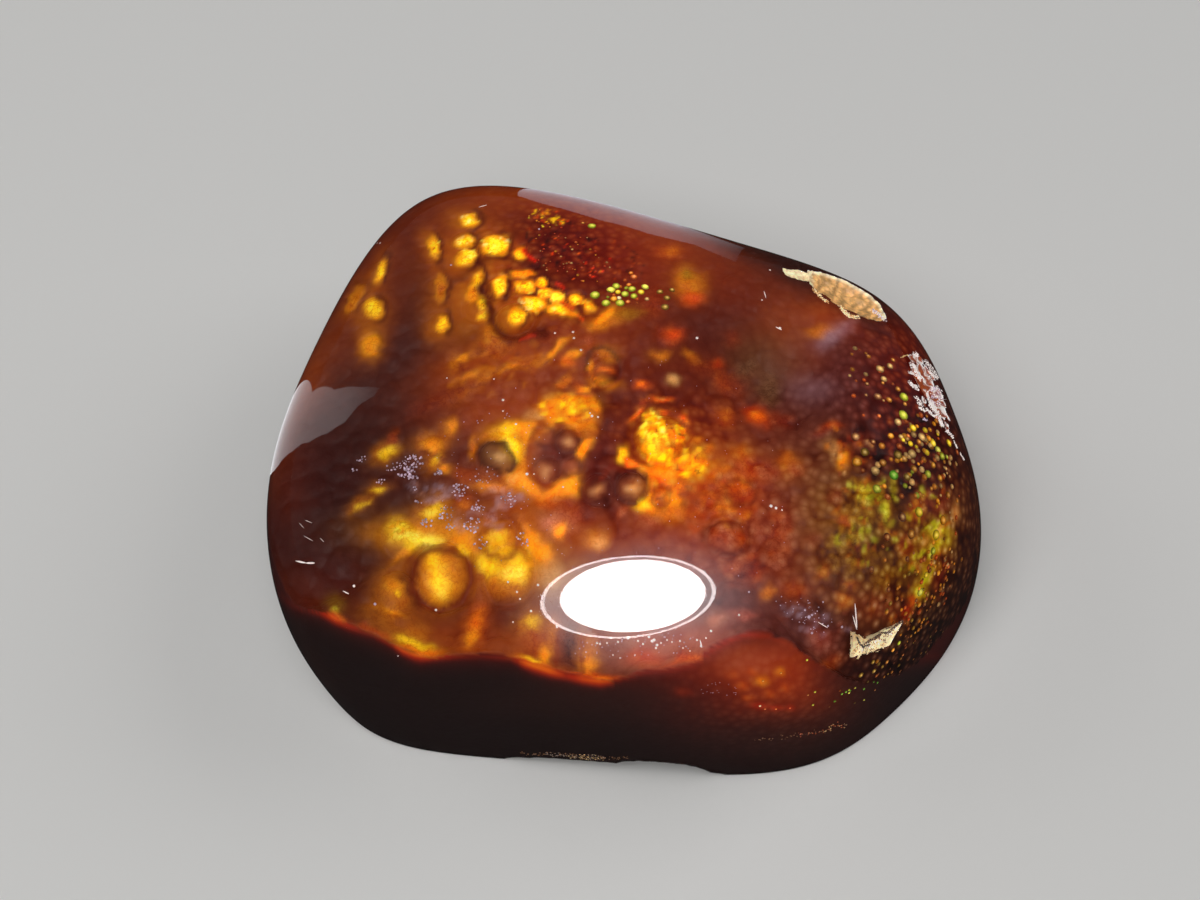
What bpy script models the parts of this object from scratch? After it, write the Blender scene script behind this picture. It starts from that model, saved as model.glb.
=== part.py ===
"""A polished fire agate: one domed pebble with a sawn base and a chipped rim.

Metres, +Z up, origin under its middle, on the flat face that it rests on.
"""

import math

import bmesh
import bpy
from mathutils import Matrix, Vector, noise

MM = 0.001
NAME = "fire_agate"

# Outline of the stone at its girdle, anticlockwise from the right: cage points in mm (x right, y back).
# Each is one column of the cage, three to a side of the cube that it starts as.
OUTLINE = (
    (13.3, -4.0),
    (12.2, 1.5),
    (11.2, 5.6),
    (4.7, 7.9),
    (-2.3, 11.2),
    (-9.1, 11.9),
    (-12.2, 3.2),
    (-13.8, -3.1),
    (-11.5, -10.2),
    (-5.3, -10.4),
    (5.1, -11.8),
    (8.8, -9.1),
)
# The cage's four levels: height in mm, sideways shift of the outline there in mm, and its scale.
LEVELS = (
    (-3.0, 1.0, 0.94),
    (2.2, 0.4, 1.0),
    (5.6, -0.2, 0.995),
    (9.0, -0.5, 0.87),
)
# The dome's four inner cage points: half width, half depth, where their middle is in y, and height, mm.
CROWN_WIDE, CROWN_DEEP, CROWN_Y, CROWN_HIGH = 4.6, 3.8, -1.5, 10.8
DOME_TILT = 0.05  # how much the dome rises towards the back, mm for each mm
SMOOTHING = 3  # Subdivision levels
SIDE = 0.9  # a vertex of the starting cube further out than this is on its side or its top

# Breaks in the stone. Each cutter has its middle on the surface, its length direction and the surface's
# outward direction there, its half sizes along, across and outwards, how far its own middle stands off the
# surface, and how rough it is. All in mm.
CHIPS = {
    "back_rim_chip": {
        "middle": (7.75, 3.7, 9.12),
        "along": (2.8, -1.6, -0.7),
        "outward": (0.38, 0.32, 0.87),
        "half": (1.8, 1.1, 0.85),
        "stand_off": 0.3,
        "bump": 0.14,
        "bump_size": 0.5,
    },
    "back_rim_sliver": {
        "middle": (6.15, 4.25, 9.5),
        "along": (1.0, -0.1, -0.2),
        "outward": (0.23, 0.33, 0.92),
        "half": (0.85, 0.4, 0.3),
        "stand_off": 0.12,
        "bump": 0.08,
        "bump_size": 0.3,
    },
    "natural_skin": {
        "middle": (10.55, 0.35, 7.95),
        "along": (0.9, -2.6, -0.7),
        "outward": (0.74, 0.12, 0.66),
        "half": (2.3, 1.45, 0.55),
        "stand_off": 0.42,
        "bump": 0.16,
        "bump_size": 0.35,
    },
    "base_rim_notch": {
        "middle": (-0.7, -10.7, 0.0),
        "along": (1.0, -0.09, 0.0),
        "outward": (0.0, -1.0, 0.0),
        "half": (4.0, 0.75, 1.5),
        "stand_off": 0.0,
        "bump": 0.08,
        "bump_size": 0.9,
    },
    "base_rim_break": {
        "middle": (0.9, -10.85, 0.1),
        "along": (1.0, -0.03, 0.0),
        "outward": (0.0, -1.0, 0.0),
        "half": (1.9, 1.15, 1.1),
        "stand_off": 0.0,
        "bump": 0.1,
        "bump_size": 0.6,
    },
}
CHIP_LEVELS = 4  # subdivisions of the ball that a chip's cutter starts as
# The five-cornered pit on the right of the front: its corners on the surface, how deep it is under each,
# the way out of it, and how rough it is.
PIT_CORNERS = (
    (7.25, -9.46, 6.03),
    (7.33, -8.95, 6.77),
    (7.87, -8.86, 6.21),
    (9.19, -7.88, 5.71),
    (8.75, -8.54, 5.24),
)
PIT_DEPTHS = (0.05, 0.35, 0.3, 0.1, 0.06)
PIT_OUTWARD = (0.62, -0.69, 0.38)
PIT_BUMP, PIT_BUMP_SIZE = 0.06, 0.3
PIT_CUTS = 9  # cuts along each edge of the pit's cutter
SAW = (0.04, 0.04, 0.01)  # size of the block that flattens the base, in metres


def column_of(place):
    """Which column of OUTLINE a vertex on the side of the starting cube belongs to."""
    twelfth = math.tau / len(OUTLINE)
    return int(math.atan2(place.y, place.x) % math.tau / twelfth + 1) % len(OUTLINE)


def caged(place):
    """Where a vertex of the starting cube goes on the stone's cage, in metres."""
    height, shift, scale = LEVELS[round((place.z + 1) * 1.5)]
    if max(abs(place.x), abs(place.y)) > SIDE:
        x, y = OUTLINE[column_of(place)]
        point = Vector((x * scale + shift, y * scale, height))
    else:
        point = Vector((3 * place.x * CROWN_WIDE, 3 * place.y * CROWN_DEEP + CROWN_Y, height))
        if place.z > SIDE:
            point.z = CROWN_HIGH
    if place.z > SIDE:
        point.z += DOME_TILT * point.y
    return MM * point


def linked(name, shape, collection):
    """A new object of this bmesh, which is freed."""
    mesh = bpy.data.meshes.new(name)
    shape.to_mesh(mesh)
    shape.free()
    thing = bpy.data.objects.new(name, mesh)
    collection.objects.link(thing)
    return thing


def make_stone(collection):
    """The whole pebble, from a cube drawn out into a cage and rounded, with its middle over the origin."""
    cage = bmesh.new()
    bmesh.ops.create_cube(cage, size=2)
    bmesh.ops.subdivide_edges(cage, edges=cage.edges[:], cuts=2, use_grid_fill=True)
    for vertex in cage.verts:
        vertex.co = caged(vertex.co.copy())
    stone = linked(NAME, cage, collection)
    stone.data.shade_smooth()
    rounding = stone.modifiers.new("rounding", "SUBSURF")
    rounding.levels = rounding.render_levels = SMOOTHING
    rounded = stone.evaluated_get(bpy.context.evaluated_depsgraph_get()).to_mesh()
    across = [vertex.co.x for vertex in rounded.vertices]
    along = [vertex.co.y for vertex in rounded.vertices]
    middle = Vector((max(across) + min(across), max(along) + min(along), 0)) / 2
    stone.data.transform(Matrix.Translation(-middle))
    return stone


def cut(stone, cutter):
    """Takes the cutter's shape out of the stone, and hides the cutter."""
    cutter.display_type = "WIRE"
    cutter.hide_render = True
    taking = stone.modifiers.new("cut " + cutter.name, "BOOLEAN")
    taking.operation = "DIFFERENCE"
    taking.object = cutter


def roughen(shape, bump, size):
    """Moves each vertex along its normal by smooth noise, both in mm, on a shape in metres."""
    shape.normal_update()
    for vertex in shape.verts:
        wave = noise.noise(vertex.co / (MM * size))
        vertex.co += vertex.normal * wave * bump * MM


def make_saw(collection):
    """The block below the base, which leaves the flat face that the stone rests on."""
    block = bmesh.new()
    bmesh.ops.create_cube(block, size=1)
    bmesh.ops.transform(block, matrix=Matrix.Diagonal((*SAW, 1)), verts=block.verts)
    bmesh.ops.translate(block, vec=(0, 0, -SAW[2] / 2), verts=block.verts)
    return linked("saw", block, collection)


def make_chip(name, chip, collection):
    """A rough lens-shaped cutter that lies on the stone's surface."""
    outward = Vector(chip["outward"]).normalized()
    along = Vector(chip["along"])
    along = (along - along.project(outward)).normalized()
    turn = Matrix((along, outward.cross(along), outward)).transposed().to_4x4()
    middle = Vector(chip["middle"]) + outward * chip["stand_off"]
    lens = bmesh.new()
    bmesh.ops.create_icosphere(lens, subdivisions=CHIP_LEVELS, radius=1)
    size = Matrix.Diagonal((*[half * MM for half in chip["half"]], 1))
    bmesh.ops.transform(lens, matrix=Matrix.Translation(middle * MM) @ turn @ size, verts=lens.verts)
    roughen(lens, chip["bump"], chip["bump_size"])
    return linked(name, lens, collection)


def make_pit(collection):
    """A rough prism on the pit's five corners, deepest under the upper ones."""
    outward = Vector(PIT_OUTWARD).normalized()
    prism = bmesh.new()
    floor = [MM * (Vector(corner) - outward * deep) for corner, deep in zip(PIT_CORNERS, PIT_DEPTHS)]
    face = prism.faces.new([prism.verts.new(corner) for corner in floor])
    raised = bmesh.ops.extrude_face_region(prism, geom=[face])["geom"]
    tops = [part for part in raised if isinstance(part, bmesh.types.BMVert)]
    bmesh.ops.translate(prism, vec=outward * MM, verts=tops)
    bmesh.ops.recalc_face_normals(prism, faces=prism.faces)
    bmesh.ops.triangulate(prism, faces=prism.faces[:])
    bmesh.ops.subdivide_edges(prism, edges=prism.edges[:], cuts=PIT_CUTS, use_grid_fill=True)
    roughen(prism, PIT_BUMP, PIT_BUMP_SIZE)
    return linked("front_pit", prism, collection)


def make_material():
    """Polished brown chalcedony."""
    material = bpy.data.materials.new("polished_agate")
    material.use_nodes = True
    surface = material.node_tree.nodes["Principled BSDF"]
    surface.inputs["Base Color"].default_value = (0.16, 0.035, 0.012, 1)
    surface.inputs["Roughness"].default_value = 0.08
    surface.inputs["IOR"].default_value = 1.54
    return material


for leftover in list(bpy.data.objects):
    bpy.data.objects.remove(leftover)
parts = bpy.data.collections.new(NAME)
cutters = bpy.data.collections.new("cutters")
for group in (parts, cutters):
    bpy.context.scene.collection.children.link(group)

fire_agate = make_stone(parts)
fire_agate.data.materials.append(make_material())
cut(fire_agate, make_saw(cutters))
for chip_name, chip_sizes in CHIPS.items():
    cut(fire_agate, make_chip(chip_name, chip_sizes, cutters))
cut(fire_agate, make_pit(cutters))
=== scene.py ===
"""A polished fire agate on a pale floor: a clear chalcedony dome over a bubbly fire layer and a dark base."""

import math

import bmesh
import bpy
import numpy as np
from mathutils import Matrix, Vector, noise
from mathutils.bvhtree import BVHTree
from mathutils.interpolate import poly_3d_calc
from mathutils.kdtree import KDTree


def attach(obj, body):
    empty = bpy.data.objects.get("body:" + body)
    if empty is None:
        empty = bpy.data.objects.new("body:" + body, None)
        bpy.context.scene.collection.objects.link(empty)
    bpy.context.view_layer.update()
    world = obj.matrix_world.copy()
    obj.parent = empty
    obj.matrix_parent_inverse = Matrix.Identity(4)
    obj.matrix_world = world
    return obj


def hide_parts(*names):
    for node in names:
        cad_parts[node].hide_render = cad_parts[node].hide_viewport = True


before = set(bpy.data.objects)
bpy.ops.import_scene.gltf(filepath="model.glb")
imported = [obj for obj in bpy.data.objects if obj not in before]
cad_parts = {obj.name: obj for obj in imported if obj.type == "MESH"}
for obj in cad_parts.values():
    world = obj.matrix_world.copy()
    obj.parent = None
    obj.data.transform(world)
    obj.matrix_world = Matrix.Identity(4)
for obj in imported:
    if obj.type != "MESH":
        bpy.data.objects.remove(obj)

MM = 0.001
NODE, BODY, SLOT = "fire_agate", "root", "polished_agate"
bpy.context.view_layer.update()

# --- The camera, which the photo's pixel coordinates below are measured through -----------------------

PHOTO_SIZE = (1200, 900)
ELEVATION = math.radians(55)
LENS, SENSOR = 60, 36
STONE_PIXEL = (620.5, 486.0)  # the pixel where STONE_POINT is seen
STONE_POINT = Vector((-0.38, -1.52, 4.5))  # mm
MM_PER_PIXEL = 26 / 715  # at STONE_POINT
FOCAL_PIXELS = LENS / SENSOR * PHOTO_SIZE[0]

AHEAD = Vector((0, math.cos(ELEVATION), -math.sin(ELEVATION)))
RIGHT = Vector((1, 0, 0))
UP = Vector((0, math.sin(ELEVATION), math.cos(ELEVATION)))
PHOTO_MIDDLE = Vector((PHOTO_SIZE[0] / 2, PHOTO_SIZE[1] / 2))
AIM = (
    STONE_POINT
    - RIGHT * (STONE_PIXEL[0] - PHOTO_MIDDLE.x) * MM_PER_PIXEL
    + UP * (STONE_PIXEL[1] - PHOTO_MIDDLE.y) * MM_PER_PIXEL
)
EYE = AIM - AHEAD * FOCAL_PIXELS * MM_PER_PIXEL  # mm

# --- The stone's outside, from the same cage as the CAD solid -----------------------------------------

# Outline at the girdle, anticlockwise from the right: one cage point for each column, in mm.
OUTLINE = (
    (13.3, -4.0), (12.2, 1.5), (11.2, 5.6), (4.7, 7.9), (-2.3, 11.2), (-9.1, 11.9), (-12.2, 3.2),
    (-13.8, -3.1), (-11.5, -10.2), (-5.3, -10.4), (5.1, -11.8), (8.8, -9.1),
)
# The cage's four levels: height in mm, sideways shift of the outline there in mm, and its scale.
LEVELS = (
    (-3.0, 1.0, 0.94), (2.2, 0.4, 1.0), (5.6, -0.2, 0.995), (9.0, -0.5, 0.87),
)
# The dome's four inner cage points: half width, half depth, where their middle is in y, and height, mm.
CROWN_WIDE, CROWN_DEEP, CROWN_Y, CROWN_HIGH = 4.6, 3.8, -1.5, 10.8
DOME_TILT = 0.05  # how much the dome rises towards the back, mm for each mm
SIDE = 0.9  # a vertex of the starting cube further out than this is on its side or its top

# Breaks in the stone, each a rough lens on the surface. All in mm.
CHIPS = {
    "back_rim_chip": {
        "middle": (7.75, 3.7, 9.12),
        "along": (2.8, -1.6, -0.7),
        "outward": (0.38, 0.32, 0.87),
        "half": (1.8, 1.1, 0.85),
        "stand_off": 0.3,
        "bump": 0.14,
        "bump_size": 0.5,
    },
    "back_rim_sliver": {
        "middle": (6.15, 4.25, 9.5),
        "along": (1.0, -0.1, -0.2),
        "outward": (0.23, 0.33, 0.92),
        "half": (0.85, 0.4, 0.3),
        "stand_off": 0.12,
        "bump": 0.08,
        "bump_size": 0.3,
    },
    "natural_skin": {
        "middle": (10.55, 0.35, 7.95),
        "along": (0.9, -2.6, -0.7),
        "outward": (0.74, 0.12, 0.66),
        "half": (2.3, 1.45, 0.55),
        "stand_off": 0.42,
        "bump": 0.16,
        "bump_size": 0.35,
    },
    "base_rim_notch": {
        "middle": (-0.7, -10.7, 0.0),
        "along": (1.0, -0.09, 0.0),
        "outward": (0.0, -1.0, 0.0),
        "half": (4.0, 0.75, 1.5),
        "stand_off": 0.0,
        "bump": 0.08,
        "bump_size": 0.9,
    },
    "base_rim_break": {
        "middle": (0.9, -10.85, 0.1),
        "along": (1.0, -0.03, 0.0),
        "outward": (0.0, -1.0, 0.0),
        "half": (1.9, 1.15, 1.1),
        "stand_off": 0.0,
        "bump": 0.1,
        "bump_size": 0.6,
    },
}
# The pit on the right of the front: its corners, how deep it is under each, and the way out of it.
PIT_CORNERS = (
    (7.25, -9.46, 6.03), (7.33, -8.95, 6.77), (7.87, -8.86, 6.21), (9.19, -7.88, 5.71),
    (8.75, -8.54, 5.24),
)
PIT_DEPTHS = (0.05, 0.35, 0.3, 0.1, 0.06)
PIT_OUTWARD = (0.62, -0.69, 0.38)
PIT_MIDDLE = sum((Vector(corner) for corner in PIT_CORNERS), Vector()) / len(PIT_CORNERS)
PIT_BUMP, PIT_BUMP_SIZE = 0.05, 0.3
PIT_CUTS = 39  # cuts along each edge of the pit's cutter
CHIP_LEVELS = 6  # subdivisions of the ball that a chip's cutter starts as
SAW_LOW, SAW_HIGH = (-20, -20, -10), (20, 20)  # corners of the block below the base, mm

FINE = 5  # subdivision levels of the clear piece and the fire layer


def column_of(place):
    """Which column of OUTLINE a vertex on the side of the starting cube belongs to."""
    twelfth = math.tau / len(OUTLINE)
    return int(math.atan2(place.y, place.x) % math.tau / twelfth + 1) % len(OUTLINE)


def caged(place):
    """Where a vertex of the starting cube goes on the stone's cage, in metres."""
    height, shift, scale = LEVELS[round((place.z + 1) * 1.5)]
    if max(abs(place.x), abs(place.y)) > SIDE:
        x, y = OUTLINE[column_of(place)]
        point = Vector((x * scale + shift, y * scale, height))
    else:
        point = Vector((3 * place.x * CROWN_WIDE, 3 * place.y * CROWN_DEEP + CROWN_Y, height))
        if place.z > SIDE:
            point.z = CROWN_HIGH
    if place.z > SIDE:
        point.z += DOME_TILT * point.y
    return MM * point


def in_scene(name, data):
    """A new object of a mesh, a lamp or a camera."""
    thing = bpy.data.objects.new(name, data)
    bpy.context.scene.collection.objects.link(thing)
    return thing


def linked(name, shape):
    """A new object of this bmesh, which is freed."""
    mesh = bpy.data.meshes.new(name)
    shape.to_mesh(mesh)
    shape.free()
    return in_scene(name, mesh)


def meshed(name, points, faces):
    """A new object of these points, in mm, and these faces."""
    mesh = bpy.data.meshes.new(name)
    mesh.from_pydata((np.array(points) * MM).tolist(), [], faces)
    return in_scene(name, mesh)


def give(thing, name, kind, values):
    """Gives each vertex a value of a new attribute, which a material can read."""
    field = "color" if kind == "FLOAT_COLOR" else "value"
    attribute = thing.data.attributes.new(name, kind, "POINT")
    attribute.data.foreach_set(field, np.asarray(values, np.float32).ravel())


def applied(thing):
    """The object with its modifiers made real."""
    mesh = bpy.data.meshes.new_from_object(thing.evaluated_get(bpy.context.evaluated_depsgraph_get()))
    thing.modifiers.clear()
    old, thing.data = thing.data, mesh
    bpy.data.meshes.remove(old)
    return thing


def whole_stone(name, levels):
    """The stone before anything is cut from it, with its middle where the CAD solid's is."""
    cage = bmesh.new()
    bmesh.ops.create_cube(cage, size=2)
    bmesh.ops.subdivide_edges(cage, edges=cage.edges[:], cuts=2, use_grid_fill=True)
    for vertex in cage.verts:
        vertex.co = caged(vertex.co.copy())
    stone = linked(name, cage)
    rounding = stone.modifiers.new("rounding", "SUBSURF")
    rounding.levels = rounding.render_levels = levels
    applied(stone)
    across = [vertex.co.x for vertex in stone.data.vertices]
    along = [vertex.co.y for vertex in stone.data.vertices]
    middle = Vector((max(across) + min(across), max(along) + min(along), 0)) / 2
    stone.data.transform(Matrix.Translation(-middle))
    return stone


def roughen(shape, bump, size, octaves=4):
    """Moves each vertex along its normal by fractal noise, both in mm, on a shape in metres."""
    shape.normal_update()
    for vertex in shape.verts:
        wave = noise.fractal(vertex.co / (MM * size), 0.9, 2.1, octaves)
        vertex.co += vertex.normal * wave * bump * MM


def block(name, low, high):
    """A plain cutter between two corners, in mm."""
    shape = bmesh.new()
    bmesh.ops.create_cube(shape, size=1)
    low, high = Vector(low) * MM, Vector(high) * MM
    size = Matrix.Diagonal((*(high - low), 1))
    bmesh.ops.transform(shape, matrix=Matrix.Translation((low + high) / 2) @ size, verts=shape.verts)
    return linked(name, shape)


def chip_cutter(name, chip, grown):
    """The rough lens that a chip was, grown on all sides by so many mm."""
    outward = Vector(chip["outward"]).normalized()
    along = Vector(chip["along"])
    along = (along - along.project(outward)).normalized()
    turn = Matrix((along, outward.cross(along), outward)).transposed().to_4x4()
    middle = Vector(chip["middle"]) + outward * chip["stand_off"]
    lens = bmesh.new()
    bmesh.ops.create_icosphere(lens, subdivisions=CHIP_LEVELS, radius=1)
    size = Matrix.Diagonal((*[(half + grown) * MM for half in chip["half"]], 1))
    bmesh.ops.transform(lens, matrix=Matrix.Translation(middle * MM) @ turn @ size, verts=lens.verts)
    roughen(lens, chip["bump"], chip["bump_size"])
    return linked(name, lens)


def pit_cutter(grown):
    """The pit on its five corners, deepest under the upper ones."""
    outward = Vector(PIT_OUTWARD).normalized()
    prism = bmesh.new()
    floor = []
    for corner, deep in zip(PIT_CORNERS, PIT_DEPTHS):
        corner = Vector(corner)
        corner += (corner - PIT_MIDDLE).normalized() * grown * 2 - outward * (deep + grown)
        floor.append(prism.verts.new(MM * corner))
    face = prism.faces.new(floor)
    raised = bmesh.ops.extrude_face_region(prism, geom=[face])["geom"]
    tops = [part for part in raised if isinstance(part, bmesh.types.BMVert)]
    bmesh.ops.translate(prism, vec=outward * MM, verts=tops)
    bmesh.ops.recalc_face_normals(prism, faces=prism.faces)
    bmesh.ops.triangulate(prism, faces=prism.faces[:])
    bmesh.ops.subdivide_edges(prism, edges=prism.edges[:], cuts=PIT_CUTS, use_grid_fill=True)
    roughen(prism, PIT_BUMP, PIT_BUMP_SIZE)
    return linked("front_pit", prism)


def cut(thing, cutters):
    """Takes each cutter out of the object and removes the cutter."""
    for cutter in cutters:
        taking = thing.modifiers.new(cutter.name, "BOOLEAN")
        taking.operation = "DIFFERENCE"
        taking.solver = "MANIFOLD"
        taking.object = cutter
    applied(thing)
    for cutter in cutters:
        bpy.data.objects.remove(cutter)
    return thing


def all_cutters(grown):
    """A cutter for each break and for the base, all grown by so many mm."""
    cutters = [chip_cutter(name, chip, grown) for name, chip in CHIPS.items()]
    return [*cutters, pit_cutter(grown), block("saw", SAW_LOW, (*SAW_HIGH, grown))]


# --- Looking into the stone as the photo does ---------------------------------------------------------

CHALCEDONY_IOR = 1.54
JUST_INSIDE = 1e-3  # mm past the polish at which a ray inside the stone starts


def ray_through(x, y):
    """The direction from EYE through a pixel of the photo."""
    sideways = (x - PHOTO_MIDDLE.x) / FOCAL_PIXELS
    upwards = (PHOTO_MIDDLE.y - y) / FOCAL_PIXELS
    return (AHEAD + RIGHT * sideways + UP * upwards).normalized()


def bent(direction, normal):
    """The direction after the air meets the polished surface."""
    ratio = 1 / CHALCEDONY_IOR
    facing = -direction.dot(normal)
    inner = 1 - ratio * ratio * (1 - facing * facing)
    return (direction * ratio + normal * (ratio * facing - math.sqrt(inner))).normalized()


def tree_of(thing):
    """A search tree of a mesh, in mm."""
    points = [vertex.co / MM for vertex in thing.data.vertices]
    return BVHTree.FromPolygons(points, [face.vertices[:] for face in thing.data.polygons])


def surface_at(x, y):
    """The point, in mm, and the smooth normal of the polished surface at a pixel, or None twice."""
    point, normal, face, _ = outside.ray_cast(EYE, ray_through(x, y))
    if point is None:
        return None, None
    corners = outside_faces[face]
    shares = poly_3d_calc([outside_points[corner] for corner in corners], point)
    normal = sum((outside_normals[corner] * share for corner, share in zip(corners, shares)), Vector())
    return point, normal.normalized()


def looked_into(x, y, inside):
    """Where a pixel's ray meets the polish, the normal and the bent ray there, and what it hits in the tree.

    The hit is a point, in mm, and its slope. Where the ray misses the stone or the tree, the hit is None.
    """
    surface, normal = surface_at(x, y)
    if surface is None:
        return None, None, None, None, None
    inner = bent(ray_through(x, y), normal)
    deep, slope, _, _ = inside.ray_cast(surface + inner * JUST_INSIDE, inner)
    return surface, normal, inner, deep, slope


def seen_at(x, y, inside):
    """The point of the tree inside the stone that a pixel shows through the polish, in mm, or None."""
    return looked_into(x, y, inside)[3]


# --- The fire layer's relief --------------------------------------------------------------------------

SKIN = 0.06  # clear depth over the core where the fire layer reaches the polish, mm
GRID = 0.086  # spacing of the fire layer's vertices, mm
DOME_GRID = 0.25  # spacing at which the polished surface is read, mm
REACH = (13.4, 11.6)  # the grid's half width and half depth, mm
LID = 12.5  # height of the top of what is cut away above the fire layer, mm
ABOVE = 20  # a height well above the stone, mm
FACING_DOWN = (0, 3, 2, 1)  # the order of a grid face's corners in the roof

# How deep the fire layer lies under the polish, in mm, at pixels of the polished surface.
DEPTHS = (
    (470, 235, 0.7), (545, 300, 0.7), (370, 300, 1.2), (330, 420, 1.6), (300, 520, 1.2), (570, 250, 0.6),
    (700, 270, 0.9), (620, 300, 0.7), (480, 370, 1.3), (580, 410, 1.5), (510, 450, 1.7), (430, 540, 2.2),
    (500, 570, 2.1), (660, 440, 1.5), (640, 490, 1.9), (720, 490, 1.9), (760, 400, 2.3), (800, 470, 1.5),
    (860, 500, 0.8), (900, 400, 0.5), (930, 540, 0.45), (900, 620, 0.35), (790, 600, 1.3),
    (620, 620, 1.5), (740, 660, 0.6), (360, 640, 0.9),
)
DEPTH_SPREAD = 2.2  # mm over which one depth gives way to the next

# How high the fire layer comes out on the stone's sides: degrees round the middle, mm. The photo shows it
# from -147 to -62 degrees; to the right of that it dips and stays close under the polish.
OUTCROP = (
    (-180, 6.2), (-160, 6.0), (-147, 6.2), (-140, 7.2), (-134.4, 7.1), (-128, 6.7), (-125, 6.55),
    (-121.5, 6.8), (-117.7, 6.9), (-111, 6.85), (-105.4, 6.6), (-99.3, 6.35), (-94.6, 6.3), (-87.8, 6.8),
    (-82.9, 6.95), (-78.5, 7.1), (-76.6, 7.5), (-72.3, 7.8), (-67.9, 7.9), (-64.4, 7.7), (-61.8, 7.4),
    (-57, 6.0), (-50, 4.2), (-38, 2.6), (-10, 1.8), (20, 2.2), (45, 3.6), (62, 5.6), (85, 6.4),
    (120, 6.0), (150, 6.5), (180, 6.2),
)


def grid_of(spacing):
    """The x and y of a level grid of points, each as a two-dimensional array, in mm."""
    counts = [round(2 * half / spacing) + 1 for half in REACH]
    return np.meshgrid(*[np.linspace(-half, half, count) for half, count in zip(REACH, counts)])


def dome_over(x, y):
    """The height of the polished surface over each point of a coarse grid, read out for a fine one."""
    coarse_x, coarse_y = grid_of(DOME_GRID)
    heights = np.zeros(coarse_x.shape)
    down = Vector((0, 0, -1))
    for index in np.ndindex(heights.shape):
        hit = outside.ray_cast(Vector((coarse_x[index], coarse_y[index], ABOVE)), down)[0]
        heights[index] = hit.z if hit else 0
    return between(heights, x, y)


def between(values, x, y):
    """Bilinear reading of a grid of values that spans REACH."""
    rows, columns = values.shape
    across = np.clip((x + REACH[0]) / (2 * REACH[0]) * (columns - 1), 0, columns - 1.001)
    along = np.clip((y + REACH[1]) / (2 * REACH[1]) * (rows - 1), 0, rows - 1.001)
    left, low = across.astype(int), along.astype(int)
    right_share, high_share = across - left, along - low
    lower = values[low, left] * (1 - right_share) + values[low, left + 1] * right_share
    upper = values[low + 1, left] * (1 - right_share) + values[low + 1, left + 1] * right_share
    return lower * (1 - high_share) + upper * high_share


def base_layer(x, y, dome):
    """The height of the fire layer without its bubbles."""
    total = np.zeros(x.shape)
    weights = np.full(x.shape, 1e-9)
    for pixel_x, pixel_y, depth in DEPTHS:
        point, _ = surface_at(pixel_x, pixel_y)
        weight = np.exp(-((x - point.x) ** 2 + (y - point.y) ** 2) / DEPTH_SPREAD**2)
        total += weight * depth
        weights += weight
    bearing = np.degrees(np.arctan2(y, x))
    return np.maximum(dome - total / weights, np.interp(bearing, *zip(*OUTCROP)))


def in_reach(x, y, middle_x, middle_y, radius):
    """The part of the grid within a radius of a point."""
    rows, columns = x.shape
    step = 2 * REACH[0] / (columns - 1)
    column, row = (middle_x + REACH[0]) / step, (middle_y + REACH[1]) / (2 * REACH[1] / (rows - 1))
    half = radius / step + 1
    low, high = max(int(row - half), 0), max(int(row + half) + 2, 0)
    left, right = max(int(column - half), 0), max(int(column + half) + 2, 0)
    return slice(low, high), slice(left, right)


def with_cells(x, y, heights):
    """The layer with small bubbles crowded all over it, and how near each point is to a bubble's top."""
    random = np.random.default_rng(CELL_SEED)
    raised, tops = heights.copy(), np.zeros(heights.shape)
    across, along = np.meshgrid(*[np.arange(-half, half, CELL_APART) for half in REACH])
    seeds = np.stack([across.ravel(), along.ravel()], 1)
    seeds += random.uniform(-CELL_STRAY, CELL_STRAY, seeds.shape) * CELL_APART
    for middle_x, middle_y in seeds:
        radius = CELL_APART * random.uniform(*CELL_RADII)
        lift = radius * random.uniform(*CELL_LIFTS)
        part = in_reach(x, y, middle_x, middle_y, radius)
        if not x[part].size:
            continue
        apart = ((x[part] - middle_x) ** 2 + (y[part] - middle_y) ** 2) / radius**2
        cap = np.sqrt(np.clip(1 - apart, 0, 1))
        raised[part] = np.maximum(raised[part], heights[part] + lift * cap)
        tops[part] = np.maximum(tops[part], cap)
    return raised, tops


def with_bubbles(x, y, heights, flat):
    """The layer with the bubbles that the photo shows one by one, each round and ringed by a furrow."""
    layer = tree_of_grid(x, y, flat)
    for pixel_x, pixel_y, radius, lift, furrow in BUBBLES:
        middle = seen_at(pixel_x, pixel_y, layer)
        part = in_reach(x, y, middle.x, middle.y, radius * BUBBLE_REACH)
        apart = np.hypot(x[part] - middle.x, y[part] - middle.y) / radius
        inside = 1 / (1 + np.exp((apart - FURROW_AT) * FURROW_EDGE))
        cap = lift * np.sqrt(np.clip(1 - apart**2, 0, 1))
        cap -= furrow * np.exp(-(((apart - FURROW_AT) / FURROW_WIDE) ** 2))
        heights[part] = heights[part] * (1 - inside) + flat[part] * inside + cap
    return heights


def grid_faces(rows, columns, order=(0, 1, 2, 3)):
    """The four-cornered faces of a grid of points, with their corners in this order."""
    corner = (np.arange(rows - 1)[:, None] * columns + np.arange(columns - 1)).ravel()
    corners = np.stack([corner, corner + 1, corner + columns + 1, corner + columns], 1)
    return corners[:, order].tolist()


def tree_of_grid(x, y, z):
    """A search tree of a grid of points, in mm."""
    points = np.stack([x, y, z], -1).reshape(-1, 3).tolist()
    return BVHTree.FromPolygons([Vector(point) for point in points], grid_faces(*z.shape))


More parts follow.
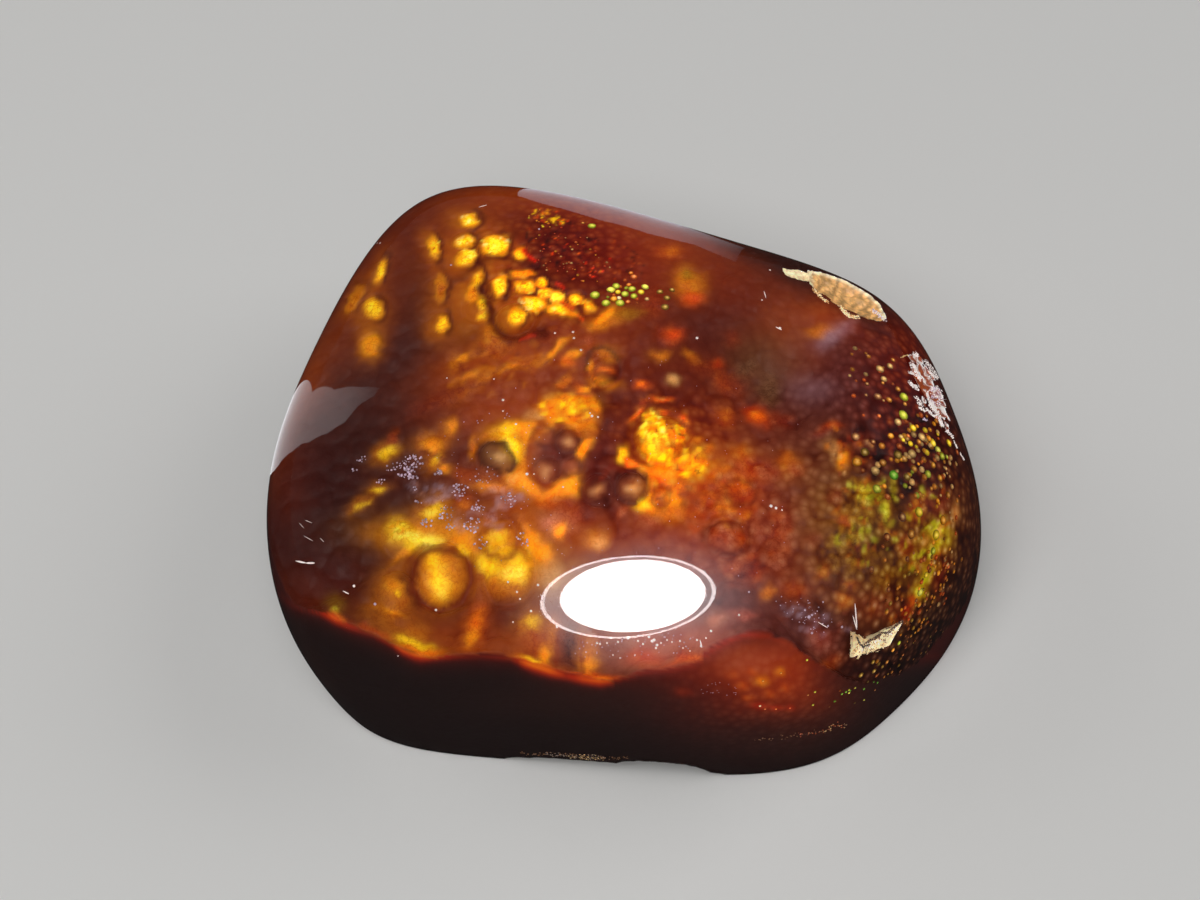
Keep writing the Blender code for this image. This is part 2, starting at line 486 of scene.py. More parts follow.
def roof_cutter(x, y, z):
    """Everything above the fire layer, as a closed cutter."""
    rows, columns = z.shape
    points = np.stack([x, y, z], -1).reshape(-1, 3)
    first_row = np.arange(columns)
    last_column = np.arange(1, rows) * columns + columns - 1
    last_row = (rows - 1) * columns + np.arange(columns - 2, -1, -1)
    first_column = np.arange(rows - 2, 0, -1) * columns
    edge = np.concatenate([first_row, last_column, last_row, first_column]).tolist()
    lid = points[edge] * (1, 1, 0) + (0, 0, LID)
    faces = grid_faces(rows, columns, FACING_DOWN)
    start, count = len(points), len(edge)
    for step in range(count):
        after = (step + 1) % count
        faces.append([edge[step], edge[after], start + after, start + step])
    faces.append([start + step for step in range(count)])
    return meshed("roof", np.concatenate([points, lid]), faces)


CELL_SEED, CELL_APART = 11, 0.52  # mm
CELL_STRAY = 0.42  # how far a cell's middle strays, in CELL_APART
CELL_RADII, CELL_LIFTS = (0.5, 1.05), (0.12, 0.42)  # in CELL_APART, and in radii
# The furrow round a bubble, in the bubble's radii: where it is, how wide it is, how hard the bubble's own
# edge is there, and how far from the middle the bubble changes the layer.
FURROW_AT, FURROW_WIDE, FURROW_EDGE, BUBBLE_REACH = 1.1, 0.16, 14, 1.6

# The bubbles that stand out: pixel of the middle, radius, lift and depth of the furrow round it, in mm.
BUBBLES = (
    (469, 219, 0.36, 0.14, 0.05), (464, 241, 0.46, 0.2, 0.06), (466, 258, 0.46, 0.2, 0.06),
    (493, 245, 0.6, 0.26, 0.08), (432, 252, 0.42, 0.18, 0.05), (519, 253, 0.3, 0.12, 0.05),
    (478, 285, 0.4, 0.16, 0.05), (480, 309, 0.5, 0.2, 0.06), (500, 288, 0.52, 0.22, 0.08),
    (524, 287, 0.34, 0.13, 0.05), (541, 286, 0.28, 0.11, 0.04), (544, 296, 0.28, 0.11, 0.04),
    (533, 305, 0.42, 0.16, 0.05), (556, 298, 0.3, 0.12, 0.04), (557, 309, 0.34, 0.12, 0.04),
    (575, 299, 0.28, 0.1, 0.04), (588, 306, 0.28, 0.1, 0.04), (515, 318, 0.68, 0.34, 0.16),
    (440, 323, 0.42, 0.18, 0.04), (374, 272, 0.5, 0.2, 0.05), (372, 308, 0.55, 0.24, 0.05),
    (352, 326, 0.36, 0.14, 0.03), (371, 345, 0.42, 0.18, 0.03), (437, 286, 0.36, 0.14, 0.03),
    (440, 574, 0.95, 0.42, 0.18), (497, 540, 0.6, 0.26, 0.08), (510, 575, 0.8, 0.3, 0.08),
    (400, 540, 0.6, 0.2, 0.04), (397, 592, 0.65, 0.25, 0.05), (497, 457, 0.62, 0.32, 0.14),
    (631, 487, 0.5, 0.3, 0.14), (598, 490, 0.5, 0.28, 0.12), (568, 441, 0.42, 0.24, 0.1),
    (547, 470, 0.42, 0.22, 0.08), (574, 467, 0.3, 0.14, 0.05), (660, 438, 0.85, 0.34, 0.12),
    (660, 497, 0.3, 0.16, 0.06), (726, 538, 0.6, 0.28, 0.08), (604, 372, 0.5, 0.2, 0.05),
    (689, 281, 0.5, 0.2, 0.04),
)

# --- The fire layer's colours, painted where the photo shows them -------------------------------------

# sRGB, out of 255.
COLOURS = {
    "murk": (70, 29, 22),
    "plum": (76, 34, 34),
    "wine": (80, 16, 8),
    "coal": (26, 14, 13),
    "tar": (44, 22, 18),
    "brick": (108, 30, 11),
    "rust": (130, 48, 15),
    "copper": (166, 72, 14),
    "clay": (150, 78, 48),
    "rose": (158, 80, 60),
    "pink": (182, 118, 92),
    "moss": (104, 68, 40),
    "red": (215, 52, 16),
    "ember": (212, 84, 14),
    "orange": (232, 120, 16),
    "amber": (244, 156, 20),
    "gold": (255, 216, 30),
    "lemon": (255, 246, 96),
    "ochre": (192, 112, 18),
    "olive": (150, 106, 20),
    "lime": (200, 206, 52),
    "green": (112, 200, 40),
    "dusk": (58, 20, 22),
    "tan": (210, 160, 98),
    "cream": (246, 226, 180),
    "lilac": (176, 158, 176),
    "frost": (235, 225, 220),
    "sand": (206, 172, 112),
    "bark": (120, 80, 45),
    "ash": (120, 104, 92),
    "straw": (255, 236, 150),
}

# Soft patches: middle and half axes in pixels, turn in degrees, colour, strength, hardness of the edge.
WASHES = (
    (620, 430, 420, 330, 0, "murk", 1, 1), (455, 212, 110, 32, -24, "brick", 0.9, 1.2),
    (480, 200, 60, 14, -8, "copper", 0.5, 1.2), (570, 213, 70, 15, 14, "copper", 0.9, 1.4),
    (650, 240, 80, 22, 16, "copper", 0.9, 1.2), (720, 275, 50, 26, 24, "rust", 0.7, 1.2),
    (640, 262, 60, 24, 10, "brick", 0.7, 1.2), (566, 254, 56, 30, 14, "wine", 0.9, 2),
    (590, 280, 46, 16, 24, "wine", 0.8, 1.6), (408, 268, 17, 52, 18, "wine", 0.8, 1.2),
    (455, 300, 34, 44, 0, "murk", 0.8, 1.2), (360, 300, 30, 60, 24, "rust", 0.7, 1.3),
    (308, 370, 26, 44, 26, "copper", 0.75, 1.3), (286, 430, 14, 60, 14, "copper", 0.5, 1.3),
    (410, 400, 66, 56, -30, "murk", 0.9, 1.2), (400, 350, 30, 40, 0, "plum", 0.4, 1.2),
    (296, 495, 24, 50, 0, "brick", 0.5, 1.2), (290, 525, 24, 14, 0, "wine", 0.6, 1.4),
    (296, 505, 12, 22, 20, "rust", 0.5, 1.3), (335, 530, 34, 70, 0, "plum", 0.55, 1.2),
    (285, 570, 20, 40, -10, "plum", 0.6, 1.3), (350, 600, 60, 26, 22, "brick", 0.6, 1.2),
    (315, 590, 40, 16, 24, "rust", 0.4, 1.4), (520, 300, 60, 26, 20, "ochre", 0.5, 1.2),
    (468, 292, 13, 28, 18, "ochre", 0.85, 1.4), (474, 300, 8, 20, 4, "amber", 0.55, 1.4),
    (437, 325, 12, 13, 0, "ochre", 0.35, 1.3), (493, 291, 13, 16, 10, "ochre", 0.8, 1.4),
    (504, 313, 14, 13, 20, "ochre", 0.75, 1.4), (487, 246, 19, 14, 0, "ochre", 0.55, 1.4),
    (457, 252, 17, 16, 0, "copper", 0.5, 1.3), (432, 256, 8, 18, -10, "copper", 0.35, 1.3),
    (468, 306, 10, 30, 10, "ochre", 0.4, 1.3), (470, 260, 50, 34, -20, "copper", 0.4, 1.2),
    (520, 385, 80, 26, -16, "rust", 0.9, 1.4), (530, 400, 44, 22, -16, "clay", 0.6, 1.6),
    (478, 362, 48, 22, -20, "copper", 0.8, 1.5), (540, 350, 70, 20, -20, "copper", 0.8, 1.4),
    (585, 345, 40, 20, -10, "rust", 0.6, 1.3), (500, 415, 50, 18, -10, "copper", 0.6, 1.5),
    (620, 340, 40, 30, 0, "rust", 0.5, 1.2), (640, 420, 60, 60, 0, "brick", 0.7, 1.4),
    (664, 430, 56, 46, 0, "copper", 0.75, 2.2), (708, 400, 60, 50, 20, "brick", 0.5, 1.2),
    (770, 300, 60, 40, 20, "brick", 0.4, 1.2), (826, 318, 26, 14, 20, "copper", 0.9, 1.5),
    (872, 330, 44, 9, 8, "rust", 0.9, 1.6), (905, 345, 20, 16, 40, "brick", 0.7, 1.3),
    (790, 345, 26, 40, -20, "copper", 0.65, 1.5), (765, 365, 34, 30, 0, "moss", 0.75, 1.7),
    (820, 400, 50, 60, 0, "plum", 0.75, 1.2), (860, 400, 40, 40, 0, "plum", 0.4, 1.2),
    (720, 500, 70, 60, 0, "rust", 0.9, 1.3), (740, 545, 70, 50, 0, "rose", 0.5, 1.2),
    (760, 480, 60, 44, 0, "clay", 0.45, 1.3), (700, 480, 40, 40, 0, "copper", 0.35, 1.3),
    (800, 500, 40, 60, 0, "plum", 0.6, 1.2), (800, 540, 36, 40, 0, "rose", 0.35, 1.2),
    (850, 530, 44, 56, 0, "olive", 0.55, 1.3), (870, 590, 56, 40, 0, "moss", 0.7, 1.3),
    (920, 540, 34, 70, 14, "olive", 0.5, 1.3), (915, 420, 26, 66, -10, "wine", 0.9, 1.5),
    (890, 450, 40, 34, 0, "wine", 0.8, 1.4), (900, 490, 22, 30, 0, "tar", 0.5, 1.4),
    (770, 590, 60, 30, 0, "rust", 0.5, 1.2), (790, 625, 60, 22, 10, "plum", 0.8, 1.2),
    (730, 600, 26, 30, 0, "plum", 0.7, 1.3), (480, 500, 70, 60, 0, "brick", 0.6, 1.2),
    (560, 500, 50, 60, 0, "rust", 0.75, 1.3), (440, 570, 90, 46, 0, "rust", 0.5, 1.2),
    (500, 560, 70, 40, 0, "ochre", 0.6, 1.2), (540, 560, 40, 40, 0, "olive", 0.35, 1.2),
    (640, 480, 50, 60, 0, "brick", 0.5, 1.2), (600, 500, 26, 50, -10, "murk", 0.8, 1.4),
    (600, 540, 60, 24, 0, "rust", 0.6, 1.3), (500, 620, 60, 26, 6, "brick", 0.9, 1.3),
    (500, 645, 80, 14, 4, "copper", 0.6, 1.5), (560, 630, 50, 30, 0, "clay", 0.6, 1.3),
    (640, 650, 60, 20, -4, "clay", 0.9, 1.5), (690, 645, 40, 20, -12, "rose", 0.8, 1.5),
    (420, 630, 40, 18, 30, "copper", 0.5, 1.4), (326, 520, 34, 60, 0, "wine", 0.45, 1.3),
    (335, 510, 30, 50, 0, "tar", 0.4, 1.3), (380, 430, 40, 20, -20, "tar", 0.3, 1.3),
    (290, 560, 20, 36, -10, "tar", 0.35, 1.3), (800, 270, 90, 12, 24, "tar", 0.85, 1.6),
    (870, 320, 40, 10, 44, "tar", 0.7, 1.5), (915, 420, 40, 90, -14, "brick", 0.5, 1.3),
    (905, 360, 26, 34, -30, "rust", 0.5, 1.3), (945, 560, 22, 90, 8, "tar", 0.4, 1.4),
    (925, 640, 36, 60, 40, "tar", 0.5, 1.4), (580, 252, 70, 40, 14, "brick", 0.7, 1.4),
    (620, 250, 50, 30, 14, "rust", 0.5, 1.3), (706, 474, 26, 18, 0, "ochre", 0.6, 1.3),
    (555, 455, 30, 30, 10, "plum", 0.75, 1.6), (622, 440, 12, 44, 6, "wine", 0.6, 1.3),
    (655, 396, 40, 14, -6, "wine", 0.6, 1.3), (470, 600, 26, 20, 10, "wine", 0.6, 1.3),
    (510, 612, 26, 14, 0, "plum", 0.6, 1.3), (372, 560, 22, 34, 0, "plum", 0.7, 1.2),
    (350, 590, 30, 20, 30, "wine", 0.6, 1.3), (420, 615, 24, 14, 10, "wine", 0.5, 1.3),
    (405, 500, 26, 14, -20, "plum", 0.7, 1.2), (460, 560, 10, 40, 0, "wine", 0.5, 1.3),
    (724, 505, 30, 26, 0, "copper", 0.6, 1.3),
)

# Caps of foil, painted as lit on the right, with a soft painted shine that reaches out to their left: middle
# and half axes of the foil, turn, colour, strength, and how far its soft shine reaches, in half axes.
CAPS = (
    (354, 300, 5, 13, 36, "ochre", 0.5, 1.6), (371, 345, 6, 9, 16, "gold", 0.8, 1.9),
    (374, 309, 8, 10, -10, "gold", 0.8, 2.4), (380, 271, 5, 11, 26, "gold", 1, 1.9),
    (443, 324, 6, 8, 0, "gold", 1, 2.2), (434, 248, 5, 10, -18, "gold", 0.95, 1.9),
    (440, 288, 6, 12, 10, "ochre", 0.5, 1.8), (469, 220, 9, 6, 4, "gold", 1, 2.0),
    (465, 241, 10, 6, -8, "gold", 1, 1.6), (466, 258, 10, 8, -14, "gold", 1, 1.6),
    (495, 246, 12, 10, -14, "gold", 1, 1.8), (497, 237, 6, 2, -4, "gold", 0.7, 1.4),
    (519, 253, 6, 5.5, -10, "gold", 0.9, 1.5), (476, 281, 4.5, 9, 30, "gold", 0.95, 2.6),
    (473, 292, 4, 9, 24, "amber", 0.85, 2.4), (481, 303, 5, 8, -24, "gold", 0.95, 2.0),
    (483, 316, 7, 5, -14, "gold", 1, 1.6), (500, 286, 7, 10, 14, "gold", 1, 2.0),
    (521, 275, 10, 3.5, -14, "amber", 0.9, 1.5), (525, 287, 8, 5.5, -12, "gold", 1, 1.5),
    (541, 283, 6, 5, 0, "gold", 1, 1.4), (545, 294, 6.5, 5, -10, "gold", 1, 1.4),
    (534, 304, 11, 7, 8, "gold", 1, 1.6), (556, 297, 7, 6.5, 0, "lemon", 1, 1.4),
    (558, 309, 10, 5, 4, "gold", 1, 1.4), (576, 300, 6.5, 5, 14, "gold", 1, 1.4),
    (589, 307, 6, 4, 16, "gold", 0.6, 1.4), (516, 316, 9, 9, 40, "gold", 0.95, 2.1),
    (571, 314, 6, 3, 12, "amber", 0.6, 1.5), (494, 338, 6, 10, -24, "ochre", 0.6, 1.7),
)

# Grains strewn over an ellipse: middle and half axes, turn, how many, their half length in pixels, how
# many times as long as wide they are, their turn, colours, strength.
GRAINS = (
    # the crackle of the caps, with lemon and straw flecks that are painted highlights
    (495, 244, 13, 9, -14, 40, (0.9, 1.7), 1.4, 0, ("lemon", "lemon", "amber", "straw"), 0.7),
    (466, 257, 9, 8, -14, 26, (0.9, 1.7), 1.4, 0, ("lemon", "lemon", "amber"), 0.7),
    (466, 240, 10, 5, -8, 18, (0.9, 1.7), 1.6, -8, ("lemon", "straw", "amber"), 0.6),
    (470, 219, 9, 5, 4, 16, (0.9, 1.6), 1.4, 0, ("lemon", "straw", "amber"), 0.6),
    (436, 248, 4, 9, -18, 12, (0.8, 1.4), 1.8, 30, ("lemon", "amber", "ochre"), 0.6),
    (501, 286, 6, 8, 14, 14, (0.9, 1.6), 1.4, 40, ("lemon", "amber"), 0.6),
    (526, 288, 9, 6, -12, 20, (0.9, 1.6), 1.5, -20, ("lemon", "ochre", "amber"), 0.7),
    (543, 289, 7, 10, 0, 24, (0.8, 1.6), 1.4, 0, ("lemon", "ochre", "amber"), 0.7),
    (532, 305, 12, 6, 8, 26, (0.9, 1.7), 1.4, 0, ("lemon", "amber", "straw"), 0.6),
    (557, 303, 9, 12, 0, 36, (0.9, 1.7), 1.4, 0, ("lemon", "lemon", "amber", "ochre"), 0.65),
    (579, 302, 13, 6, 16, 26, (0.8, 1.5), 1.6, 16, ("lemon", "amber", "copper"), 0.7),
    (481, 309, 6, 14, -10, 20, (0.8, 1.5), 1.5, 60, ("lemon", "amber"), 0.5),
    # the flower
    (653, 431, 13, 19, -8, 90, (1.4, 2.8), 1.2, 0, ("gold", "gold", "lemon", "amber", "ochre"), 0.85),
    (660, 456, 12, 8, -8, 30, (1.4, 2.8), 1.2, 0, ("gold", "amber", "amber"), 0.8),
    (678, 434, 8, 10, 20, 34, (1.2, 2.4), 1.3, 30, ("amber", "orange", "gold", "rust"), 0.85),
    (688, 462, 20, 12, -20, 50, (1.6, 3.4), 1.3, 0, ("amber", "gold", "ochre", "rust"), 0.6),
    (662, 492, 20, 14, 0, 36, (2, 4), 1.2, 0, ("amber", "ochre", "copper"), 0.45),
    # the gold ground and the slope
    (566, 410, 28, 14, 4, 60, (1.8, 4), 1.6, 10, ("amber", "gold", "ochre", "copper"), 0.5),
    (505, 366, 56, 26, -22, 120, (2, 5), 1.8, -20, ("copper", "ochre", "rust", "brick", "clay"), 0.4),
    (480, 396, 40, 14, -26, 40, (2, 4), 1.6, -24, ("rust", "brick", "clay"), 0.4),
    # the pits of the dark red window
    (563, 246, 40, 26, 14, 90, (0.9, 2.4), 1.6, 20, ("rust", "tar", "copper", "tar", "brick"), 0.6),
    (610, 262, 40, 22, 20, 60, (0.9, 2), 1.6, 20, ("rust", "copper", "tar"), 0.5),
    (572, 262, 44, 22, 14, 26, (0.7, 1.6), 2.2, 24, ("ember", "red", "orange"), 0.9),
    (548, 215, 20, 7, 14, 26, (1, 2), 1.4, 10, ("amber", "gold", "ember"), 0.8),
    # the gold crescent over the big bubble, and the bubbles to its right
    (397, 530, 9, 11, 0, 40, (1, 2), 1.1, 0, ("lemon", "gold", "amber"), 0.6),
    (508, 556, 28, 30, 0, 60, (1.6, 3.4), 1.2, 0, ("gold", "ochre", "olive", "amber"), 0.3),
    # the red ground
    (740, 530, 50, 60, 0, 110, (3, 6), 1.2, 0, ("clay", "copper", "rust", "brick"), 0.4),
    (716, 500, 34, 36, 0, 50, (2.5, 6), 1.2, 0, ("ochre", "copper", "clay", "brick"), 0.45),
    # the right flank
    (868, 520, 34, 44, 10, 120, (2, 4.5), 1.6, 80, ("olive", "moss", "lime", "plum", "ochre"), 0.5),
    (846, 560, 30, 30, 0, 50, (2, 4), 1.4, 70, ("olive", "moss", "wine"), 0.4),
    (926, 540, 22, 60, 12, 90, (2, 5), 2.2, 108, ("olive", "lime", "ochre", "tan", "wine"), 0.5),
    (905, 600, 40, 36, 0, 60, (1.8, 3.6), 2, 110, ("moss", "ochre", "wine", "tar"), 0.45),
    (848, 452, 26, 24, 10, 26, (2, 4), 1.5, 50, ("ochre", "clay", "tan", "wine"), 0.6),
    (906, 432, 26, 36, -10, 50, (1.5, 3.5), 1.8, 60, ("rust", "wine", "copper", "tar"), 0.5),
    # haze about the clouds of flaws
    (432, 492, 30, 10, 10, 30, (2, 4), 1.2, 0, ("lilac", "pink"), 0.28),
    (476, 522, 26, 14, 0, 30, (2, 4), 1.2, 0, ("lilac", "pink"), 0.24),
    (500, 500, 22, 10, 0, 18, (2, 4), 1.2, 0, ("lilac", "pink"), 0.24),
    (815, 620, 40, 14, 10, 30, (2, 4), 1.4, 10, ("lilac", "rose"), 0.2),
)

# The glowing patches, in the terms of WASHES.
GLOWS = (
    # upper left
    (371, 345, 8, 11, 10, "amber", 0.9, 1.9), (540, 334, 22, 5, -6, "rust", 0.6, 1.5),
    (490, 333, 6, 14, -20, "ochre", 0.7, 1.6), (487, 345, 9, 6, 0, "ochre", 0.6, 1.5),
    (505, 345, 16, 8, -20, "copper", 0.6, 1.5),
    # the wedge to the right of the foils
    (608, 319, 17, 8, -18, "ochre", 0.9, 2), (605, 317, 11, 4, -40, "amber", 0.9, 2),
    (601, 325, 9, 2.5, -8, "ochre", 0.9, 2.2), (628, 314, 14, 5, -10, "olive", 0.7, 1.6),
    # upper middle and right
    (689, 282, 15, 13, 40, "ochre", 0.95, 1.9), (688, 274, 6, 5, 0, "olive", 0.9, 1.7),
    (692, 299, 9, 6, 0, "ember", 0.75, 1.6), (653, 303, 12, 14, 0, "rust", 0.9, 1.5),
    (670, 251, 11, 6, 0, "copper", 0.9, 1.4), (672, 251, 6, 4, 0, "ochre", 0.6, 1.4),
    (672, 336, 14, 9, 0, "rust", 0.8, 1.5), (672, 335, 9, 6, 8, "ember", 0.85, 1.7),
    (606, 354, 11, 9, 0, "ochre", 0.5, 1.6), (605, 355, 6, 5, 0, "ochre", 0.8, 1.8),
    (660, 355, 8, 5, 0, "ochre", 1, 1.8), (692, 357, 8, 4.5, 20, "ochre", 0.9, 1.8),
    (701, 365, 12, 8, 20, "rust", 0.7, 1.4), (717, 364, 5, 4, 0, "ember", 0.55, 1.4),
    (733, 340, 8, 7, 0, "rust", 0.7, 1.4), (722, 383, 7, 12, -20, "copper", 0.8, 1.5),
    (736, 385, 9, 14, -20, "rust", 0.8, 1.5), (747, 370, 8, 8, 0, "moss", 0.7, 1.6),
    (769, 390, 9, 16, 6, "moss", 0.9, 1.7), (673, 380, 5, 4, 0, "tan", 1, 1.7),
    (642, 386, 8, 4, -14, "ember", 0.8, 1.7), (642, 386, 4.5, 2.5, -14, "orange", 1, 2),
    (757, 417, 12, 7, 30, "ember", 0.85, 1.6), (758, 417, 7, 3.5, 30, "orange", 0.85, 1.8),
    (781, 420, 10, 6, 10, "rust", 0.9, 1.5), (725, 417, 8, 9, -30, "copper", 0.9, 1.6),
    (724, 414, 4, 5, 0, "ochre", 0.5, 1.6), (742, 454, 11, 9, 0, "ochre", 0.75, 1.5),
    (738, 468, 12, 8, 0, "clay", 0.6, 1.4), (789, 464, 12, 11, 10, "ochre", 0.75, 1.7),
    (796, 470, 7, 7, 0, "clay", 0.8, 1.6), (832, 427, 7, 4, -10, "copper", 0.9, 1.7),
    (822, 433, 8, 4, -20, "rust", 0.7, 1.5), (833, 450, 9, 6, 34, "tan", 0.55, 1.7),
    (845, 460, 7, 9, 10, "amber", 0.7, 1.8), (842, 447, 4, 3.5, 0, "copper", 0.8, 1.8),
    (856, 437, 6, 4, 10, "clay", 0.8, 1.7), (819, 331, 12, 5, -14, "ochre", 0.7, 1.6),
    (833, 335, 16, 7, -30, "lilac", 0.28, 1.5), (810, 390, 20, 10, 0, "lilac", 0.12, 1.2),
    # the banded slope
    (455, 363, 7, 10, 20, "ochre", 0.9, 1.7), (465, 357, 8, 4, -30, "amber", 0.8, 2),
    (480, 355, 8, 3, -20, "ochre", 0.9, 2), (466, 368, 7, 3.5, 10, "rust", 0.7, 1.8),
    (470, 376, 9, 3, -30, "amber", 0.6, 1.9), (484, 378, 11, 4, -45, "amber", 0.5, 1.7),
    (468, 390, 16, 6, -30, "ochre", 0.7, 1.7), (440, 400, 26, 8, -24, "rust", 0.7, 1.4),
    (512, 367, 22, 5, -14, "ochre", 0.6, 1.5), (513, 366, 10, 2.5, -14, "amber", 0.6, 1.9),
    (541, 359, 14, 6, -20, "ochre", 0.6, 1.5), (555, 350, 14, 4, -42, "amber", 0.85, 1.9),
    (574, 355, 7, 3.5, -36, "amber", 0.9, 2), (568, 362, 6, 5, 0, "orange", 0.7, 1.8),
    (588, 338, 8, 3.5, -10, "clay", 0.9, 1.7), (590, 345, 7, 9, -20, "copper", 0.6, 1.5),
    (500, 350, 12, 7, -10, "ochre", 0.55, 1.4),
    # rings between the slope and the middle
    (592, 365, 9, 8, 0, "clay", 0.8, 1.6), (589, 368, 3.5, 5, 0, "amber", 0.7, 1.8),
    (593, 379, 9, 3.5, 40, "orange", 1, 2), (606, 370, 7, 3, 0, "orange", 0.8, 1.7),
    (603, 383, 11, 5, 8, "amber", 0.8, 1.8), (610, 385, 6, 2.5, -14, "amber", 1, 2),
    (568, 378, 8, 4, -44, "ochre", 0.95, 2), (562, 385, 5, 2.5, -10, "ochre", 0.9, 2),
    (582, 389, 7, 3.5, 8, "amber", 0.9, 2), (577, 384, 5, 5, 0, "copper", 0.6, 1.8),
    # the gold ground in the middle left
    (550, 408, 11, 9, 0, "amber", 0.85, 1.8), (566, 406, 12, 8, 10, "gold", 0.7, 1.8),
    (574, 403, 18, 8, 0, "amber", 0.75, 1.8), (596, 402, 8, 9, 0, "amber", 0.6, 2),
    (594, 408, 7, 5, 0, "amber", 0.7, 1.8), (577, 420, 15, 8, 10, "amber", 0.8, 1.8),
    (552, 417, 7, 6, 0, "amber", 0.7, 1.8), (584, 430, 10, 6, 10, "ochre", 0.9, 2),
    (535, 415, 8, 6, 0, "tan", 0.55, 1.8), (520, 429, 22, 7, -4, "amber", 1, 2.2),
    (506, 432, 14, 8, -10, "gold", 0.85, 2), (512, 445, 17, 9, 52, "gold", 1, 2.2),
    (530, 437, 8, 8, -30, "amber", 0.85, 2), (518, 438, 7, 4, 0, "ochre", 0.6, 1.8),
    (508, 445, 8, 4, 50, "lemon", 0.5, 2), (490, 437, 10, 6, -30, "ochre", 0.7, 1.6),
    (473, 447, 4, 10, 14, "ochre", 0.95, 1.9), (525, 460, 5, 14, -10, "ochre", 0.9, 2),
    (517, 478, 13, 10, 20, "amber", 0.85, 1.8), (516, 478, 8, 6, 0, "tan", 0.4, 1.6),
    (530, 488, 14, 6, 30, "amber", 0.7, 1.9), (561, 491, 18, 7, -10, "amber", 0.75, 1.8),
    (574, 482, 7, 10, 30, "amber", 0.75, 1.9), (585, 447, 5, 10, 28, "amber", 1, 2.2),
    (582, 453, 5, 6, 30, "amber", 0.5, 2), (548, 500, 14, 7, 10, "copper", 0.7, 1.6),
    (495, 488, 18, 5, 10, "ochre", 0.7, 1.7), (485, 478, 22, 11, 10, "clay", 0.6, 1.5),
    (488, 487, 16, 3, 12, "amber", 0.4, 1.9), (463, 475, 8, 6, 0, "copper", 0.6, 1.5),
    (572, 515, 18, 12, 0, "rust", 0.7, 1.5), (558, 527, 15, 12, 0, "clay", 0.8, 1.6),
    (551, 524, 8, 6, 0, "pink", 0.7, 1.7), (559, 530, 6, 6, 40, "amber", 0.85, 1.9),
    (596, 541, 11, 9, 0, "ochre", 0.75, 1.6), (598, 543, 6, 5, 0, "tan", 0.5, 1.6),
    (520, 525, 16, 18, 0, "copper", 0.4, 1.4), (530, 539, 6, 14, -34, "amber", 0.8, 1.7),
    (541, 553, 7, 12, -30, "amber", 0.75, 1.6), (550, 577, 12, 12, 0, "tan", 0.6, 1.5),
    # the crackled gold flower and what surrounds it
    (660, 438, 21, 24, 0, "ochre", 0.9, 2.2), (652, 423, 6, 6, 0, "gold", 0.85, 2),
    (653, 443, 9, 10, 0, "gold", 0.9, 2), (664, 436, 5, 9, -20, "gold", 0.85, 2),
    (662, 456, 9, 6, 0, "gold", 0.8, 1.8), (650, 430, 5, 4, 0, "amber", 0.6, 2),
    (676, 434, 9, 7, 30, "amber", 1, 2.2), (680, 438, 5, 4, 0, "amber", 0.7, 2),
    (678, 448, 6, 5, 0, "ochre", 0.9, 1.8), (684, 418, 5, 3, 20, "orange", 0.9, 2),
    (665, 412, 4, 2.5, 10, "orange", 0.8, 2), (636, 415, 9, 3, -40, "orange", 0.95, 2.2),
    (637, 413, 4, 1.5, -40, "tan", 0.5, 2), (648, 401, 12, 3, -26, "copper", 0.95, 1.8),
    (664, 398, 8, 2.5, 4, "orange", 0.9, 1.9), (664, 397, 3, 1.5, 0, "tan", 0.8, 2),
    (623, 455, 5, 7, 14, "gold", 1, 1.9), (633, 464, 11, 3.5, 42, "orange", 1, 2),
    (645, 473, 9, 4, 40, "amber", 1, 2), (668, 470, 18, 8, -6, "amber", 0.85, 1.7),
    (690, 467, 13, 6, -12, "amber", 0.85, 1.8), (697, 463, 8, 10, 10, "gold", 0.6, 1.9),
    (697, 462, 5, 8, 0, "gold", 0.6, 1.8), (708, 450, 6, 5, 0, "ochre", 0.85, 1.8),
    (697, 440, 5, 5, 0, "ochre", 0.9, 1.7), (658, 486, 16, 9, -30, "amber", 0.9, 1.8),
    (652, 499, 7, 12, 20, "amber", 0.85, 1.8), (645, 503, 9, 6, -10, "gold", 0.7, 1.9),
    (674, 500, 7, 11, -10, "amber", 0.7, 1.8), (680, 488, 9, 7, 0, "ochre", 0.7, 1.6),
    (668, 513, 18, 7, 4, "ochre", 0.85, 1.7), (650, 520, 9, 5, 0, "clay", 0.9, 1.6),
    (660, 496, 5, 7, 0, "rust", 0.8, 1.8), (622, 510, 6, 5, -20, "clay", 0.85, 1.6),
    # orange ground to its right
    (719, 474, 8, 6, 0, "ochre", 0.75, 1.7), (718, 490, 22, 9, 0, "copper", 0.9, 1.6),
    (709, 497, 12, 7, -20, "ochre", 0.6, 1.6), (722, 505, 13, 13, 0, "copper", 0.95, 1.6),
    (725, 505, 7, 8, 0, "amber", 0.5, 1.6), (696, 510, 7, 8, -20, "copper", 0.7, 1.6),
    (742, 490, 13, 12, 0, "copper", 0.95, 1.5), (750, 470, 13, 10, 20, "copper", 0.9, 1.5),
    (768, 474, 8, 6, 20, "clay", 1, 1.5), (724, 535, 20, 14, 0, "clay", 0.8, 1.6),
    (724, 536, 9, 6, 0, "rose", 0.5, 1.5), (745, 518, 8, 7, 0, "copper", 0.8, 1.6),
    (743, 539, 6, 6, 0, "copper", 0.8, 1.6), (757, 530, 8, 8, 0, "clay", 0.8, 1.6),
    (780, 530, 10, 16, 10, "clay", 1, 1.5), (777, 555, 12, 16, 10, "clay", 0.9, 1.5),
    (748, 556, 8, 7, 0, "clay", 0.7, 1.6), (735, 568, 14, 10, 0, "clay", 0.85, 1.5),
    (755, 576, 6, 5, 0, "copper", 0.7, 1.7), (769, 592, 6, 6, 0, "ochre", 0.85, 1.7),
